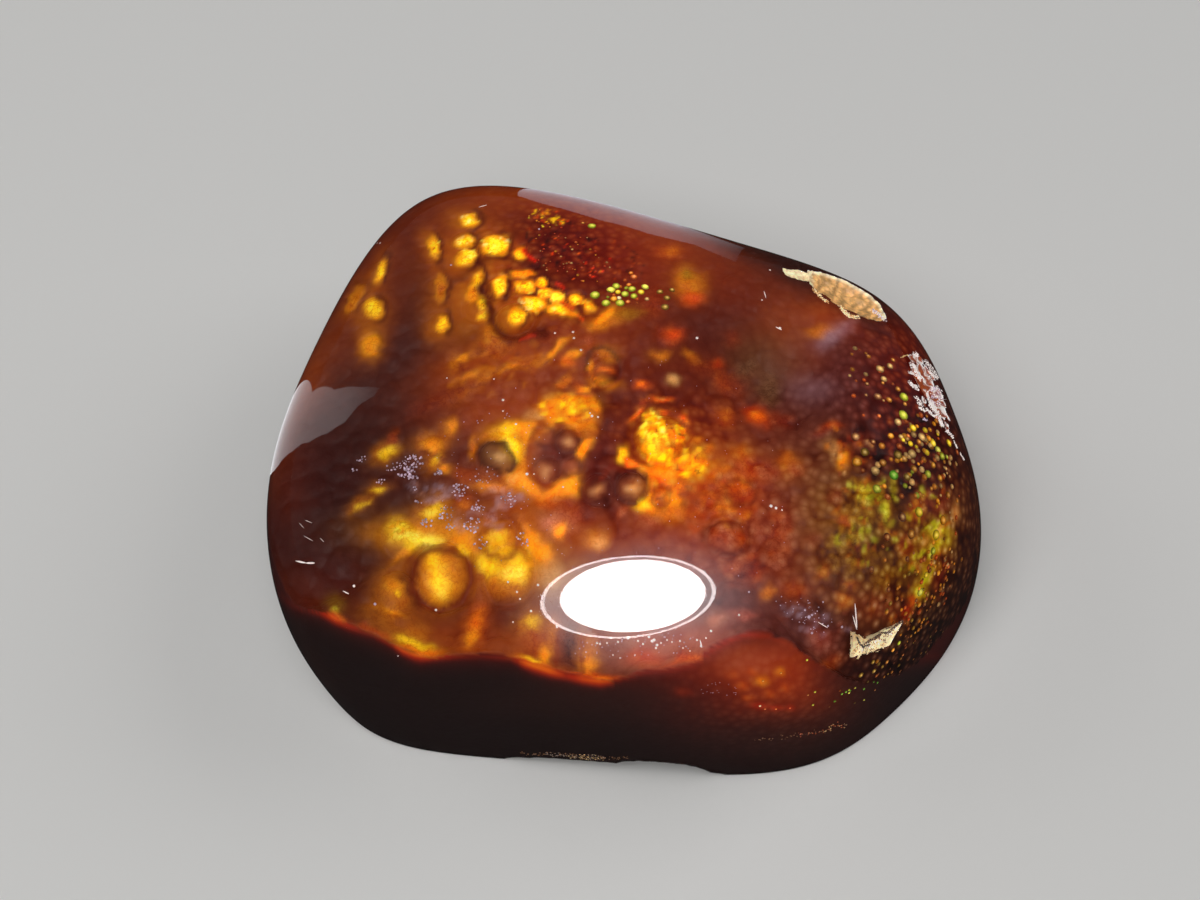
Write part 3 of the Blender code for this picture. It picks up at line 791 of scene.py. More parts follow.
    (794, 590, 12, 8, 0, "copper", 0.7, 1.5), (813, 541, 8, 7, 0, "clay", 0.5, 1.5),
    (716, 619, 8, 6, 0, "pink", 0.7, 1.6), (744, 615, 12, 5, 0, "rose", 0.8, 1.4),
    (820, 640, 12, 14, -20, "rose", 0.6, 1.4), (832, 663, 10, 6, -30, "copper", 0.6, 1.4),
    # lower left
    (448, 427, 7, 10, 24, "ochre", 0.7, 1.7), (450, 426, 3.5, 7, 24, "amber", 0.7, 1.9),
    (384, 454, 14, 8, -32, "ochre", 0.85, 1.7), (388, 453, 9, 4, -28, "gold", 0.9, 1.9),
    (393, 438, 4, 8, 10, "copper", 0.8, 1.6), (430, 444, 15, 10, -8, "ochre", 0.9, 1.8),
    (432, 446, 9, 6, -10, "amber", 0.95, 1.9), (434, 462, 11, 7, -40, "ochre", 0.9, 1.7),
    (436, 459, 7, 3, -50, "gold", 0.6, 1.8), (445, 470, 6, 4, 10, "amber", 0.85, 1.8),
    (378, 488, 11, 6, -12, "ochre", 0.8, 1.8), (378, 490, 7, 3, -8, "gold", 1, 2.2),
    (360, 505, 14, 6, -34, "ochre", 0.85, 1.7), (362, 506, 8, 2.5, -34, "gold", 0.8, 2),
    (432, 508, 18, 12, -14, "ochre", 0.9, 1.7), (433, 512, 10, 6, -20, "gold", 0.9, 1.9),
    (430, 513, 5, 4, 0, "lemon", 0.5, 1.9), (463, 502, 7, 8, 0, "copper", 0.85, 1.7),
    (463, 504, 4, 4, 0, "ochre", 0.8, 1.8), (488, 516, 11, 4, -6, "ochre", 0.8, 1.7),
    (420, 536, 44, 14, 4, "amber", 0.8, 1.7), (398, 530, 11, 10, 0, "gold", 0.95, 1.9),
    (398, 533, 7, 9, 0, "lemon", 0.85, 1.9), (416, 539, 23, 8, 16, "gold", 1, 1.9),
    (412, 537, 13, 5, 14, "lemon", 0.7, 1.9), (447, 535, 14, 8, -10, "ochre", 0.8, 1.6),
    (408, 552, 13, 4, -34, "amber", 0.8, 1.9), (466, 545, 13, 12, 0, "amber", 0.8, 1.6),
    (463, 552, 9, 6, 30, "gold", 0.8, 1.7), (394, 592, 20, 22, 0, "ochre", 0.85, 1.7),
    (396, 586, 9, 9, 0, "amber", 0.7, 1.6), (398, 592, 3, 2.5, 0, "gold", 0.9, 2),
    (398, 606, 7, 4, 0, "ochre", 0.6, 1.8), (390, 613, 18, 4, 12, "ochre", 0.95, 1.8),
    (392, 612, 8, 2, 14, "amber", 0.8, 2), (385, 625, 24, 10, 26, "ochre", 0.5, 1.5),
    # the big round bubble and its neighbours
    (440, 578, 24, 26, -12, "ochre", 0.85, 2), (438, 574, 13, 22, -8, "amber", 0.75, 1.6),
    (435, 563, 7.5, 9, 0, "gold", 0.8, 1.5), (441, 582, 8, 13, -10, "gold", 0.9, 1.5),
    (440, 588, 6, 8, 0, "lemon", 0.3, 1.6), (497, 540, 17, 15, 0, "ochre", 0.8, 1.8),
    (496, 538, 9, 9, 0, "gold", 0.6, 1.7), (504, 554, 10, 8, 20, "gold", 0.6, 1.7),
    (505, 577, 30, 17, -6, "ochre", 0.9, 1.8), (515, 570, 14, 12, -10, "gold", 0.95, 1.8),
    (512, 573, 9, 7, 0, "lemon", 0.75, 1.8), (489, 565, 13, 8, 14, "gold", 0.8, 1.7),
    (503, 592, 16, 6, -6, "ochre", 0.8, 1.7),
    # the front streaks
    (476, 625, 12, 22, 14, "copper", 0.9, 1.7), (474, 626, 7, 17, 16, "orange", 0.9, 1.9),
    (471, 636, 5, 8, 14, "amber", 0.7, 1.8), (530, 625, 14, 14, 0, "ochre", 0.8, 1.7),
    (532, 621, 9, 6, 0, "gold", 0.6, 1.8), (537, 645, 14, 16, 0, "copper", 0.7, 1.6),
    (544, 654, 6, 10, 8, "amber", 0.9, 1.9), (552, 635, 4, 14, 0, "ochre", 0.6, 1.7),
    (571, 648, 10, 20, 0, "murk", 0.75, 1.9), (588, 655, 10, 20, 0, "ochre", 0.7, 1.8),
    (588, 666, 7, 9, 0, "amber", 0.7, 1.8), (615, 655, 16, 12, 0, "plum", 0.4, 1.5),
    (644, 658, 16, 8, 0, "ember", 0.45, 1.6), (684, 648, 13, 8, 0, "clay", 0.7, 1.7),
    (690, 660, 14, 6, -10, "copper", 0.8, 1.7), (335, 604, 9, 8, 0, "olive", 0.7, 1.6),
    (334, 613, 4, 4, 0, "lime", 0.9, 1.8), (416, 634, 9, 9, 20, "ochre", 0.8, 1.7),
    (414, 644, 18, 5, 18, "gold", 0.9, 1.9), (420, 650, 20, 3.5, 10, "orange", 0.9, 1.9),
    (337, 618, 8, 3.5, 24, "orange", 0.9, 1.8), (372, 630, 20, 3, 22, "ember", 0.5, 1.6),
    (536, 664, 18, 3.5, 14, "orange", 0.9, 1.9), (531, 661, 7, 2, 14, "gold", 0.7, 1.8),
    (590, 676, 26, 3, 3, "ember", 0.8, 1.7), (602, 678, 9, 2, 3, "orange", 0.7, 1.7),
    (690, 660, 30, 3, -14, "ember", 0.4, 1.6),
    # right side
    (864, 492, 12, 10, 10, "olive", 1, 1.9), (866, 488, 8, 5, 0, "lime", 0.55, 1.7),
    (868, 500, 8, 8, 0, "lime", 0.55, 1.7), (862, 518, 14, 14, 10, "olive", 0.9, 1.6),
    (848, 538, 14, 11, -10, "olive", 0.9, 1.6), (850, 537, 8, 6, 0, "lime", 0.3, 1.5),
    (883, 507, 7, 17, -4, "olive", 0.95, 1.9), (885, 512, 4, 11, -4, "lime", 0.7, 1.8),
    (893, 488, 4, 13, 6, "lime", 0.45, 1.8), (838, 560, 9, 8, 0, "bark", 0.8, 1.5),
    (860, 560, 15, 8, -14, "olive", 1, 1.6), (823, 572, 7, 7, 0, "ochre", 0.6, 1.6),
    (844, 602, 8, 7, 0, "ochre", 0.65, 1.6), (852, 584, 6, 5, 0, "ochre", 0.6, 1.6),
    (845, 520, 8, 7, 0, "ochre", 0.7, 1.6), (835, 497, 5, 9, 10, "clay", 0.6, 1.5),
    (885, 578, 14, 9, -10, "olive", 0.6, 1.6), (880, 605, 20, 14, 0, "clay", 0.5, 1.5),
    (918, 560, 13, 13, 0, "olive", 0.7, 1.6), (905, 545, 8, 10, 0, "copper", 0.7, 1.6),
    (916, 512, 8, 12, 10, "ochre", 0.8, 1.7), (935, 500, 11, 10, 0, "clay", 0.75, 1.7),
    (937, 537, 11, 11, 0, "lime", 0.6, 1.6), (930, 548, 10, 12, 10, "olive", 0.9, 1.7),
    (926, 574, 7, 11, 24, "lime", 0.55, 1.8), (919, 592, 5, 6, 20, "lime", 0.9, 1.9),
    (912, 601, 4, 5, 30, "ochre", 0.8, 1.9), (905, 612, 9, 4, -50, "copper", 0.95, 1.7),
    (940, 575, 7, 14, 20, "rust", 0.7, 1.6),
)

# Dark rounds that ring a bubble, painted shade in its furrow: middle and half axes, turn, width of the ring,
# colour, strength.
SHADE_RINGS = (
    (440, 578, 30, 31, -14, 4.5, "brick", 0.85), (497, 457, 16, 13, 22, 4, "dusk", 0.9),
    (631, 487, 13, 13, 0, 6, "dusk", 0.8), (597, 490, 13, 14, 0, 6, "dusk", 0.65),
    (568, 441, 12, 12, 0, 4, "dusk", 0.75), (545, 471, 12, 10, 0, 3, "dusk", 0.6),
    (543, 437, 11, 10, 0, 3, "dusk", 0.5), (570, 467, 11, 9, 0, 3, "dusk", 0.6),
    (536, 454, 9, 8, 0, 3, "dusk", 0.45), (726, 538, 22, 17, 0, 4, "wine", 0.5),
    (662, 495, 9, 10, 0, 3, "rust", 0.6), (602, 366, 17, 17, 0, 3, "tar", 0.55),
    (499, 541, 20, 16, 0, 4, "rust", 0.55), (708, 505, 17, 14, 10, 3, "rust", 0.45),
    (742, 493, 15, 13, 0, 3, "wine", 0.4), (764, 664, 34, 26, 0, 4, "brick", 0.4),
)

# The middles of the ringed bubbles, like GLOWS: their own colour, with small tan and lemon spots that are
# painted highlights.
BUBBLE_MIDDLES_AND_GLINTS = (
    (426, 541, 13, 5, -14, "lemon", 0.8, 1.6), (411, 548, 6, 5, 0, "gold", 0.7, 1.5),
    (955, 514, 4, 9, 8, "tan", 0.6, 1.5), (496, 457, 12, 9, 22, "bark", 0.9, 1.6),
    (500, 457, 4.5, 4, 22, "tan", 0.7, 1.2), (631, 487, 8, 8, 0, "clay", 0.4, 1.3),
    (632, 488, 4, 4, 0, "tan", 0.8, 1.1), (597, 490, 7, 7, 0, "clay", 0.45, 1.3),
    (596, 490, 4, 4, 0, "tan", 0.5, 1.1), (568, 441, 8, 7, 0, "clay", 0.6, 1.4),
    (568, 441, 4, 4, 0, "tan", 0.5, 1.2), (545, 471, 9, 8, 0, "clay", 0.6, 1.3),
    (545, 471, 4, 4, 0, "tan", 0.35, 1.2), (570, 467, 8, 7, 0, "clay", 0.6, 1.3),
    (543, 437, 8, 7, 0, "clay", 0.6, 1.3), (535, 453, 6, 7, 0, "clay", 0.5, 1.3),
    (662, 495, 5, 6, 0, "clay", 0.6, 1.3),
)

# The edge where the fire layer comes out on the front, in pixels, with how bright its painted glow is there.
OUTCROP_GLOW = (
    (276, 592, 0.1), (292, 605, 0.2), (318, 611, 0.5), (334, 617, 1.0), (350, 626, 0.6), (372, 634, 0.35),
    (392, 643, 0.6), (404, 649, 1.1), (418, 654, 1.3), (436, 655, 0.8), (455, 656, 0.4), (480, 656, 0.3),
    (512, 658, 0.4), (530, 664, 1.2), (548, 670, 1.1), (566, 676, 0.6), (585, 679, 0.9), (604, 681, 1.0),
    (614, 678, 0.6), (640, 672, 0.4), (672, 669, 0.4), (694, 664, 0.4), (706, 653, 0.5), (728, 640, 0.6),
    (744, 634, 0.6), (770, 636, 0.35), (790, 645, 0.2), (803, 656, 0.1),
)

# Thin strokes: points in pixels, half width, colour, strength, hardness.
LINES = (
    # the first wine strokes are the dark furrows between the caps, in painted shade
    (((479, 286), (482, 296), (489, 308), (492, 319), (498, 332), (509, 340), (530, 338), (546, 331)),
     4.2, "wine", 0.75, 1.2),
    (((479, 264), (492, 258), (508, 257), (521, 262), (534, 269), (549, 279), (566, 288)), 3, "wine",
     0.7, 1.2),
    (((479, 264), (466, 272), (452, 282), (447, 296)), 3, "wine", 0.55, 1.2),
    (((510, 270), (511, 284), (508, 298)), 2, "wine", 0.6, 1.3),
    (((479, 264), (486, 274), (489, 290), (494, 300)), 2.2, "wine", 0.55, 1.2),
    (((525, 250), (529, 256), (536, 261)), 1.8, "red", 0.9, 1.6),
    (((520, 340), (528, 339), (537, 336)), 1.5, "red", 0.5, 1.4),
    (((559, 284), (564, 287)), 1.5, "red", 0.7, 1.6), (((563, 301), (573, 308)), 2, "ember", 0.9, 2),
    (((577, 316), (583, 318)), 2, "ember", 0.8, 1.8),
    (((480, 344), (505, 358), (520, 360)), 2, "copper", 0.6, 1.6),
    (((450, 383), (480, 370), (510, 362), (540, 352)), 1.6, "amber", 0.15, 1.4),
    (((455, 391), (490, 384), (516, 374), (545, 367)), 1.6, "rust", 0.3, 1.4),
    (((568, 375), (580, 372), (590, 376)), 2.2, "rust", 0.6, 1.6),
    (((590, 390), (608, 388), (618, 380), (617, 365)), 2.6, "brick", 0.7, 1.7),
    (((600, 395), (610, 415), (604, 440), (594, 465), (582, 490), (588, 515)), 6, "wine", 0.75, 1.5),
    (((556, 424), (575, 430), (592, 436)), 3, "rust", 0.5, 1.6),
    (((540, 424), (533, 440), (528, 458), (532, 476), (548, 485)), 3.6, "rust", 0.7, 1.6),
    (((408, 560), (416, 551), (429, 544), (446, 542), (458, 550)), 2, "rust", 0.6, 1.4),
    (((404, 575), (408, 590), (418, 606)), 4, "wine", 0.6, 1.5),
    (((470, 560), (478, 580), (486, 596), (510, 603)), 5, "rust", 0.5, 1.4),
    (((468, 520), (490, 512), (512, 518), (524, 534)), 4, "brick", 0.65, 1.5),
    (((420, 453), (434, 453), (444, 460)), 2, "brick", 0.7, 1.8),
    (((556, 640), (558, 668)), 2, "rust", 0.6, 1.6), (((583, 640), (582, 672)), 2.2, "rust", 0.7, 1.6),
    (((600, 478), (612, 468), (628, 470)), 3, "brick", 0.6, 1.5),
    (((718, 655), (740, 650), (765, 652), (785, 660), (794, 680)), 2, "ember", 0.35, 1.5),
    (((716, 700), (730, 690), (750, 690), (775, 690), (792, 700)), 2.5, "rust", 0.35, 1.4),
)


def linear(colour):
    """The sRGB triple as linear light."""
    value = np.array(colour) / 255
    return np.where(value < 0.04045, value / 12.92, ((value + 0.055) / 1.055) ** 2.4)


def wobble(u, v, size, seed):
    """Smooth noise, mostly from -1 to 1, over pixel coordinates."""
    random = np.random.default_rng(seed)
    total = np.zeros(u.shape)
    for _ in range(WOBBLE_WAVES):
        angle, phase = random.uniform(0, math.tau, 2)
        wave = math.tau / (size * random.uniform(0.7, 1.6))
        total += np.sin((u * math.cos(angle) + v * math.sin(angle)) * wave + phase)
    return total / 4


def elliptic(u, v, stroke):
    """How far each point is from an ellipse's middle: 1 on the ellipse."""
    x, y, half_x, half_y, turn = stroke[:5]
    cosine, sine = math.cos(math.radians(turn)), math.sin(math.radians(turn))
    along = ((u - x) * cosine + (v - y) * sine) / half_x
    across = ((v - y) * cosine - (u - x) * sine) / half_y
    return np.hypot(along, across)


def edge_of(distance, hardness):
    """The share of a stroke that is laid at each point: 1 inside, 0 outside, a half at a distance of 1."""
    return 0.5 - 0.5 * np.tanh(hardness * (distance - 1))


def from_line(u, v, points):
    """How many pixels each point is from a line."""
    nearest = np.full(u.shape, np.inf)
    for start, end in zip(points, points[1:]):
        way = np.array(end) - start
        share = np.clip(((u - start[0]) * way[0] + (v - start[1]) * way[1]) / (way @ way), 0, 1)
        apart = np.hypot(u - start[0] - share * way[0], v - start[1] - share * way[1])
        nearest = np.minimum(nearest, apart)
    return nearest


def laid(colour, name, weight):
    """The colour with another laid over it."""
    return colour + (linear(COLOURS[name]) - colour) * weight[..., None]


def plain(name, u):
    """One colour at every point."""
    return np.broadcast_to(linear(COLOURS[name]), (*u.shape, 3))


def with_patches(u, v, colour, patches):
    """The colour with soft patches on it, in the terms of WASHES."""
    for patch in patches:
        colour = laid(colour, patch[5], patch[6] * edge_of(elliptic(u, v, patch), patch[7]))
    return colour


def turned(x, y, along, across, turn):
    """The pixel at a place given along and across an ellipse's axes, which are turned by so many radians."""
    cosine, sine = math.cos(turn), math.sin(turn)
    return x + along * cosine - across * sine, y + along * sine + across * cosine


def strewn(random, field):
    """A random pixel inside an ellipse."""
    x, y, half_x, half_y, turn = field[:5]
    turn, angle, out = math.radians(turn), random.uniform(0, math.tau), math.sqrt(random.uniform(0, 1))
    return turned(x, y, half_x * out * math.cos(angle), half_y * out * math.sin(angle), turn)


def grained(u, v, colour):
    """The colour with the grains on it."""
    random = np.random.default_rng(GRAIN_SEED)
    colour = colour.copy()
    for field in GRAINS:
        count, halves, stretch, lean, names, strength = field[5:]
        near = np.nonzero(elliptic(u, v, field) < 1.4)[0]
        for _ in range(count):
            x, y = strewn(random, field)
            half = random.uniform(*halves)
            thin = half / stretch * random.uniform(0.8, 1.2)
            grain = (x, y, half, thin, lean + random.normal(0, GRAIN_SWAY))
            name = names[random.integers(len(names))]
            own = near[np.hypot(u[near] - x, v[near] - y) < 2.2 * half]
            weight = strength * edge_of(elliptic(u[own], v[own], grain), GRAIN_EDGE)
            colour[own] = laid(colour[own], name, weight)
    return colour


GRAIN_SEED, GRAIN_SWAY, GRAIN_EDGE = 29, 25, 2.2  # the sway of a grain's turn is in degrees
VIVID = 1.04  # the power that deepens the fire layer's colours
WOBBLE_WAVES = 9  # waves that are added up in wobble()
# How far the strokes waver, in pixels, over waves of what size, with the seeds for u and v.
BROAD_WAVER, FINE_WAVER = (2.2, 34, (3, 4)), (1.1, 11, (5, 6))
# The dark groove of painted shade on the lit side of a cap: its strength, how far outside the foil, and how
# wide, in pixels.
GROOVE_STRENGTH, GROOVE_AT, GROOVE_WIDE = 0.7, 3.4, 2.2
CAP_RIM, CAP_RIM_SOFT, CAP_FOIL_IN, CAP_FOIL_SOFT = 0.8, 3, 1.4, 3.2  # pixels
RIM_STRENGTH, RIM_REACH = 0.75, 1.18  # of the tint round a glow
BRIGHT_FOIL, DULL_FOIL = 0.5, 0.3  # how much of a glow is foil

# Where the stone is lit most, as ellipses in pixels and how much brighter it is there.
LIT = (
    (590, 440, 90, 80, 0, 0.6), (590, 515, 110, 45, 0, 0.6), (730, 580, 70, 36, 0, 0.4),
    (865, 405, 50, 60, 0, 0.7), (830, 345, 60, 40, 0, 0.45), (600, 258, 84, 44, 14, 1.0),
    (640, 640, 120, 30, 0, 0.6), (500, 435, 50, 44, -20, 0.1), (320, 510, 60, 80, 0, -0.25),
    (470, 632, 90, 18, 6, -0.15), (350, 575, 34, 50, 0, -0.2), (408, 500, 34, 16, -20, -0.3),
    (437, 572, 22, 28, 0, 0.2), (660, 450, 44, 44, 0, 0.1), (650, 420, 14, 26, 0, -0.15),
    (550, 445, 20, 26, 0, 0.2), (580, 550, 60, 24, 0, 0.1), (765, 484, 56, 38, 0, 0.4),
    (880, 600, 44, 30, 0, 0.4), (932, 540, 22, 50, 10, 0.35), (957, 515, 12, 44, 6, 0.7),
    (872, 628, 14, 22, 0, 0.3), (830, 640, 30, 20, 0, 0.25), (400, 600, 40, 24, 0, 0.2),
)

# What shows round the rim of a glow of these colours.
UNDER_TINTS = {"gold": "ochre", "lemon": "amber", "amber": "ochre", "orange": "copper", "lime": "ochre"}


def wavered(u, v, waver):
    """The pixels moved a little, so that no stroke is a true ellipse."""
    far, size, seeds = waver
    return u + far * wobble(u, v, size, seeds[0]), v + far * wobble(u, v, size, seeds[1])


def with_caps(u, v, colour):
    """The caps of foil laid on the colour: their painted shine, their grooves in painted shade, then the foil
    itself.
    """
    foil = np.zeros(u.shape)
    for x, y, half_x, half_y, turn, _, full, reach in CAPS:
        halo = (x - 0.45 * (reach - 1) * half_x, y + 0.1 * half_y, half_x * reach, half_y * reach, turn)
        colour = laid(colour, "copper", 0.6 * full * edge_of(elliptic(u, v, halo), 1.3))
        colour = laid(colour, "ochre", 0.75 * full * edge_of(elliptic(u, v, halo) * 1.3, 1.6))
    for cap in CAPS:
        apart = (elliptic(u, v, cap) - 1) * min(cap[2:4])
        beside = np.clip((u - cap[0]) / cap[2] + 0.2, 0, 1)
        groove = np.exp(-(((apart - GROOVE_AT) / GROOVE_WIDE) ** 2))
        colour = laid(colour, "wine", GROOVE_STRENGTH * cap[6] * beside * groove)
    for cap in CAPS:
        apart = (elliptic(u, v, cap) - 1) * min(cap[2:4])
        colour = laid(colour, "amber", cap[6] * edge_of(1 + (apart - CAP_RIM) / CAP_RIM_SOFT, 3))
        weight = cap[6] * edge_of(1 + (apart + CAP_FOIL_IN) / CAP_FOIL_SOFT, 2.4)
        colour = laid(colour, cap[5], weight)
        foil = foil + (1 - foil) * weight
    return colour, foil


def with_glows(u, v, colour, foil):
    """The colour and the foil with the glowing patches on them."""
    for glow in GLOWS:
        name, strength, hardness = glow[5:]
        reach = elliptic(u, v, glow)
        if name in UNDER_TINTS:
            rim = RIM_STRENGTH * strength * edge_of(reach / RIM_REACH, hardness)
            colour = laid(colour, UNDER_TINTS[name], rim)
            reach = reach * 1.1
        weight = strength * edge_of(reach, hardness)
        colour = laid(colour, name, weight)
        bright = BRIGHT_FOIL if name in ("gold", "lemon", "lime") else DULL_FOIL
        foil = foil + (bright - foil) * weight
    return colour, foil


def with_rings(u, v, colour, foil):
    """The colour and the foil with the dark rings of painted shade round the bubbles on them."""
    for ring in SHADE_RINGS:
        width, name, strength = ring[5:]
        apart = (elliptic(u, v, ring) - 1) * (ring[2] + ring[3]) / 2 / width
        weight = strength * np.exp(-(apart**2))
        colour = laid(colour, name, weight)
        foil = foil * (1 - weight)
    return colour, foil


def painted(u, v):
    """The fire layer's colour where pixels u, v of the photo show it, and how much of it is foil."""
    u, v = wavered(u, v, BROAD_WAVER)
    colour = with_patches(u, v, plain("murk", u), WASHES)
    u, v = wavered(u, v, FINE_WAVER)
    colour, foil = with_caps(u, v, colour)
    colour, foil = with_glows(u, v, colour, foil)
    colour, foil = with_rings(u, v, grained(u, v, colour), foil)
    colour = with_patches(u, v, colour, BUBBLE_MIDDLES_AND_GLINTS)
    for points, width, name, strength, hardness in LINES:
        weight = strength * edge_of(from_line(u, v, points) / width, hardness)
        colour = laid(colour, name, weight)
    colour = colour**VIVID
    for patch in LIT:
        colour = colour * (1 + patch[5] * edge_of(elliptic(u, v, patch), 1))[..., None]
    return colour, foil


# Soft patches on the dark front below the fire layer, like WASHES; the brick and rust ones under the arch add
# a painted red glow.
FRONT_WASHES = (
    (740, 660, 70, 22, 0, "brick", 0.95, 1.8), (690, 685, 70, 22, 10, "wine", 0.5, 1.2),
    (755, 668, 34, 22, 0, "rust", 0.85, 1.5), (780, 700, 40, 24, 0, "rust", 0.7, 1.3),
    (790, 670, 14, 26, -10, "rust", 0.6, 1.4), (740, 690, 60, 30, 0, "brick", 0.45, 1.2),
    (745, 664, 22, 12, 0, "clay", 0.35, 1.5), (770, 735, 60, 20, -6, "tar", 0.8, 1.3),
    (600, 700, 90, 16, 0, "tar", 0.7, 1.2), (762, 681, 6, 5, 0, "ochre", 0.5, 1.6),
    (762, 681, 3, 2.5, 0, "ochre", 0.6, 1.6), (780, 672, 4, 4, 0, "ochre", 0.6, 1.7),
    (742, 686, 5, 4, 0, "copper", 0.6, 1.7), (752, 672, 4, 3, 0, "copper", 0.5, 1.7),
    (733, 675, 5, 4, 0, "copper", 0.4, 1.7), (748, 698, 5, 3, 0, "copper", 0.5, 1.7),
    (770, 694, 5, 4, 0, "copper", 0.5, 1.7), (785, 688, 4, 4, 0, "copper", 0.5, 1.7),
    (760, 706, 7, 3, 6, "red", 0.25, 1.6), (776, 708, 4, 2.5, 0, "red", 0.25, 1.7),
    (790, 708, 4, 2.5, 0, "red", 0.2, 1.6), (683, 692, 7, 4, 0, "brick", 0.9, 1.6),
    (310, 690, 16, 60, -24, "tar", 0.8, 1.2),
)
FRONT_LIT, FRONT_LIFT = (772, 678, 86, 40, 0), 1.1  # where the front is lit most, and how much brighter


def walled(u, v):
    """The colour of the dark front where pixels u, v show it, with a painted red and orange glow under the
    fire layer's edge.
    """
    edge_u, edge_v, bright = zip(*OUTCROP_GLOW)
    under = v - np.interp(u, edge_u, edge_v)
    glow = np.interp(u, edge_u, bright)
    # a painted red glow that fades down from the fire layer's edge
    rust = 0.9 * np.exp(-np.clip(under - 4, 0, None) / 7)
    colour = laid(plain("coal", u), "wine", np.clip(rust, 0, 1) * (0.5 + 0.3 * glow))
    colour = with_patches(u, v, colour, FRONT_WASHES)
    colour = colour * (1 + FRONT_LIFT * edge_of(elliptic(u, v, FRONT_LIT), 1.2))[..., None]
    rim = np.clip(glow, 0, 1) ** 1.6 * np.exp(-((under / (2 + 3 * glow)) ** 2))
    colour = laid(colour, "red", rim)
    return laid(colour, "orange", np.clip(glow - 0.75, 0, 0.5) * 2 * np.exp(-((under / 2.5) ** 2)))


# --- The clear piece and the fire layer ---------------------------------------------------------------

uncut = whole_stone("clear_chalcedony", FINE)
outside = tree_of(uncut)
outside_points = [vertex.co / MM for vertex in uncut.data.vertices]
outside_normals = [vertex.normal.copy() for vertex in uncut.data.vertices]
outside_faces = [face.vertices[:] for face in uncut.data.polygons]
clear = cut(uncut, all_cutters(0))

grid_x, grid_y = grid_of(GRID)
dome = dome_over(grid_x, grid_y)
flat_layer = base_layer(grid_x, grid_y, dome)
celled_layer, cell_tops = with_cells(grid_x, grid_y, flat_layer)
layer_z = with_bubbles(grid_x, grid_y, celled_layer, flat_layer)

core = whole_stone("fire_layer", FINE)
shape = bmesh.new()
shape.from_mesh(core.data)
shape.normal_update()
for vertex in shape.verts:
    vertex.co -= vertex.normal * SKIN * MM
shape.to_mesh(core.data)
shape.free()
cut(core, [roof_cutter(grid_x, grid_y, layer_z), *all_cutters(SKIN)])

# --- Laying the paint on the fire layer ---------------------------------------------------------------

PIXEL_STEP = 5
PIXELS_ACROSS, PIXELS_DOWN = np.arange(250, 986, PIXEL_STEP), np.arange(176, 790, PIXEL_STEP)
SEEN_NEAR, SEEN_FAR = 0.35, 0.9  # mm from the seen part of the layer over which the paint gives way


def pixel_map(tree):
    """The points of the tree's surface, in mm, that a grid of pixels shows, by row and column."""
    found = {}
    for row, v in enumerate(PIXELS_DOWN):
        for column, u in enumerate(PIXELS_ACROSS):
            point = seen_at(float(u), float(v), tree)
            if point is not None:
                found[row, column] = point
    return found


def pixels_for_mm(found, row, column):
    """What turns a small move on the surface, in mm, into a move in pixels, near one point of the map."""
    sides = []
    for down, right in ((0, 1), (1, 0)):
        after, before = (row + down, column + right), (row - down, column - right)
        ahead, behind = (found.get(key, found[row, column]) for key in (after, before))
        steps = (after in found) + (before in found)
        sides.append(np.array(ahead - behind) / max(steps, 1) / PIXEL_STEP)
    return np.linalg.pinv(np.array(sides).T, rcond=0.05)


def pixels_of(points, tree):
    """The pixel where the photo shows each point, and how near it is to what the photo shows."""
    found = pixel_map(tree)
    near = KDTree(len(found))
    keys = list(found)
    for index, key in enumerate(keys):
        near.insert(found[key], index)
    near.balance()
    slopes = {}
    result = np.empty((len(points), 3))
    for number, point in enumerate(points):
        place, index, apart = near.find(point)
        row, column = keys[index]
        if index not in slopes:
            slopes[index] = pixels_for_mm(found, row, column)
        move = np.clip(slopes[index] @ np.array(point - place), -PIXEL_STEP, PIXEL_STEP)
        result[number] = PIXELS_ACROSS[column] + move[0], PIXELS_DOWN[row] + move[1], apart
    return result.T


# Where the cells' painted shade and highlight show: middle and half axes in pixels, turn, and how strongly.
CELLED = (
    (620, 470, 130, 110, 0, 0.4), (790, 520, 130, 90, 0, 0.5), (900, 520, 70, 130, 0, 0.9),
    (540, 285, 60, 40, 20, 0.4), (600, 640, 260, 30, 0, 0.3),
)
# The cells' hollows are darkened as painted shade and their tops lightened as painted highlight.
CELL_HOLLOW_SHADE, CELL_SHINE = 0.5, -0.2  # the powers that their hollows and tops raise the colour to, less one
# The same for the finer cells, which the material draws with a painted highlight in their middles and painted
# shade at their edges.
FINE_CELLED = (
    (600, 450, 340, 240, 0, 0.08), (665, 445, 40, 44, 0, 0.5), (570, 405, 30, 22, 0, 0.3),
    (570, 250, 46, 34, 14, 0.6), (540, 300, 44, 24, 20, 0.35), (780, 510, 90, 80, 0, 0.3),
    (890, 560, 50, 120, 10, 0.7), (915, 440, 44, 90, -14, 0.8), (930, 620, 50, 90, 40, 0.8),
    (760, 690, 70, 40, 0, 0.15),
)
FRONT_CELLED, FRONT_CELLS = (765, 695, 76, 44, 0), 0.18  # where the front has fine cells, and how strongly


def smooth(value, low, high):
    """0 below low, 1 above high, and eased between them."""
    share = np.clip((value - low) / (high - low), 0, 1)
    return share * share * (3 - 2 * share)


def fractal_at(points, size, shift, roughness):
    """Broad noise at each point."""
    return np.array([noise.fractal(Vector(point) / size + shift, roughness, 2, 2) for point in points])


def edge_glow_under(depth):
    """The colour of the dark base just under the fire layer's edge, by the depth in mm: a painted red glow
    near the edge.
    """
    glow = np.exp(-np.clip(depth, 0, None) / 0.22)[..., None]
    return linear(COLOURS["coal"]) * (1 - glow) + linear(COLOURS["brick"]) * glow


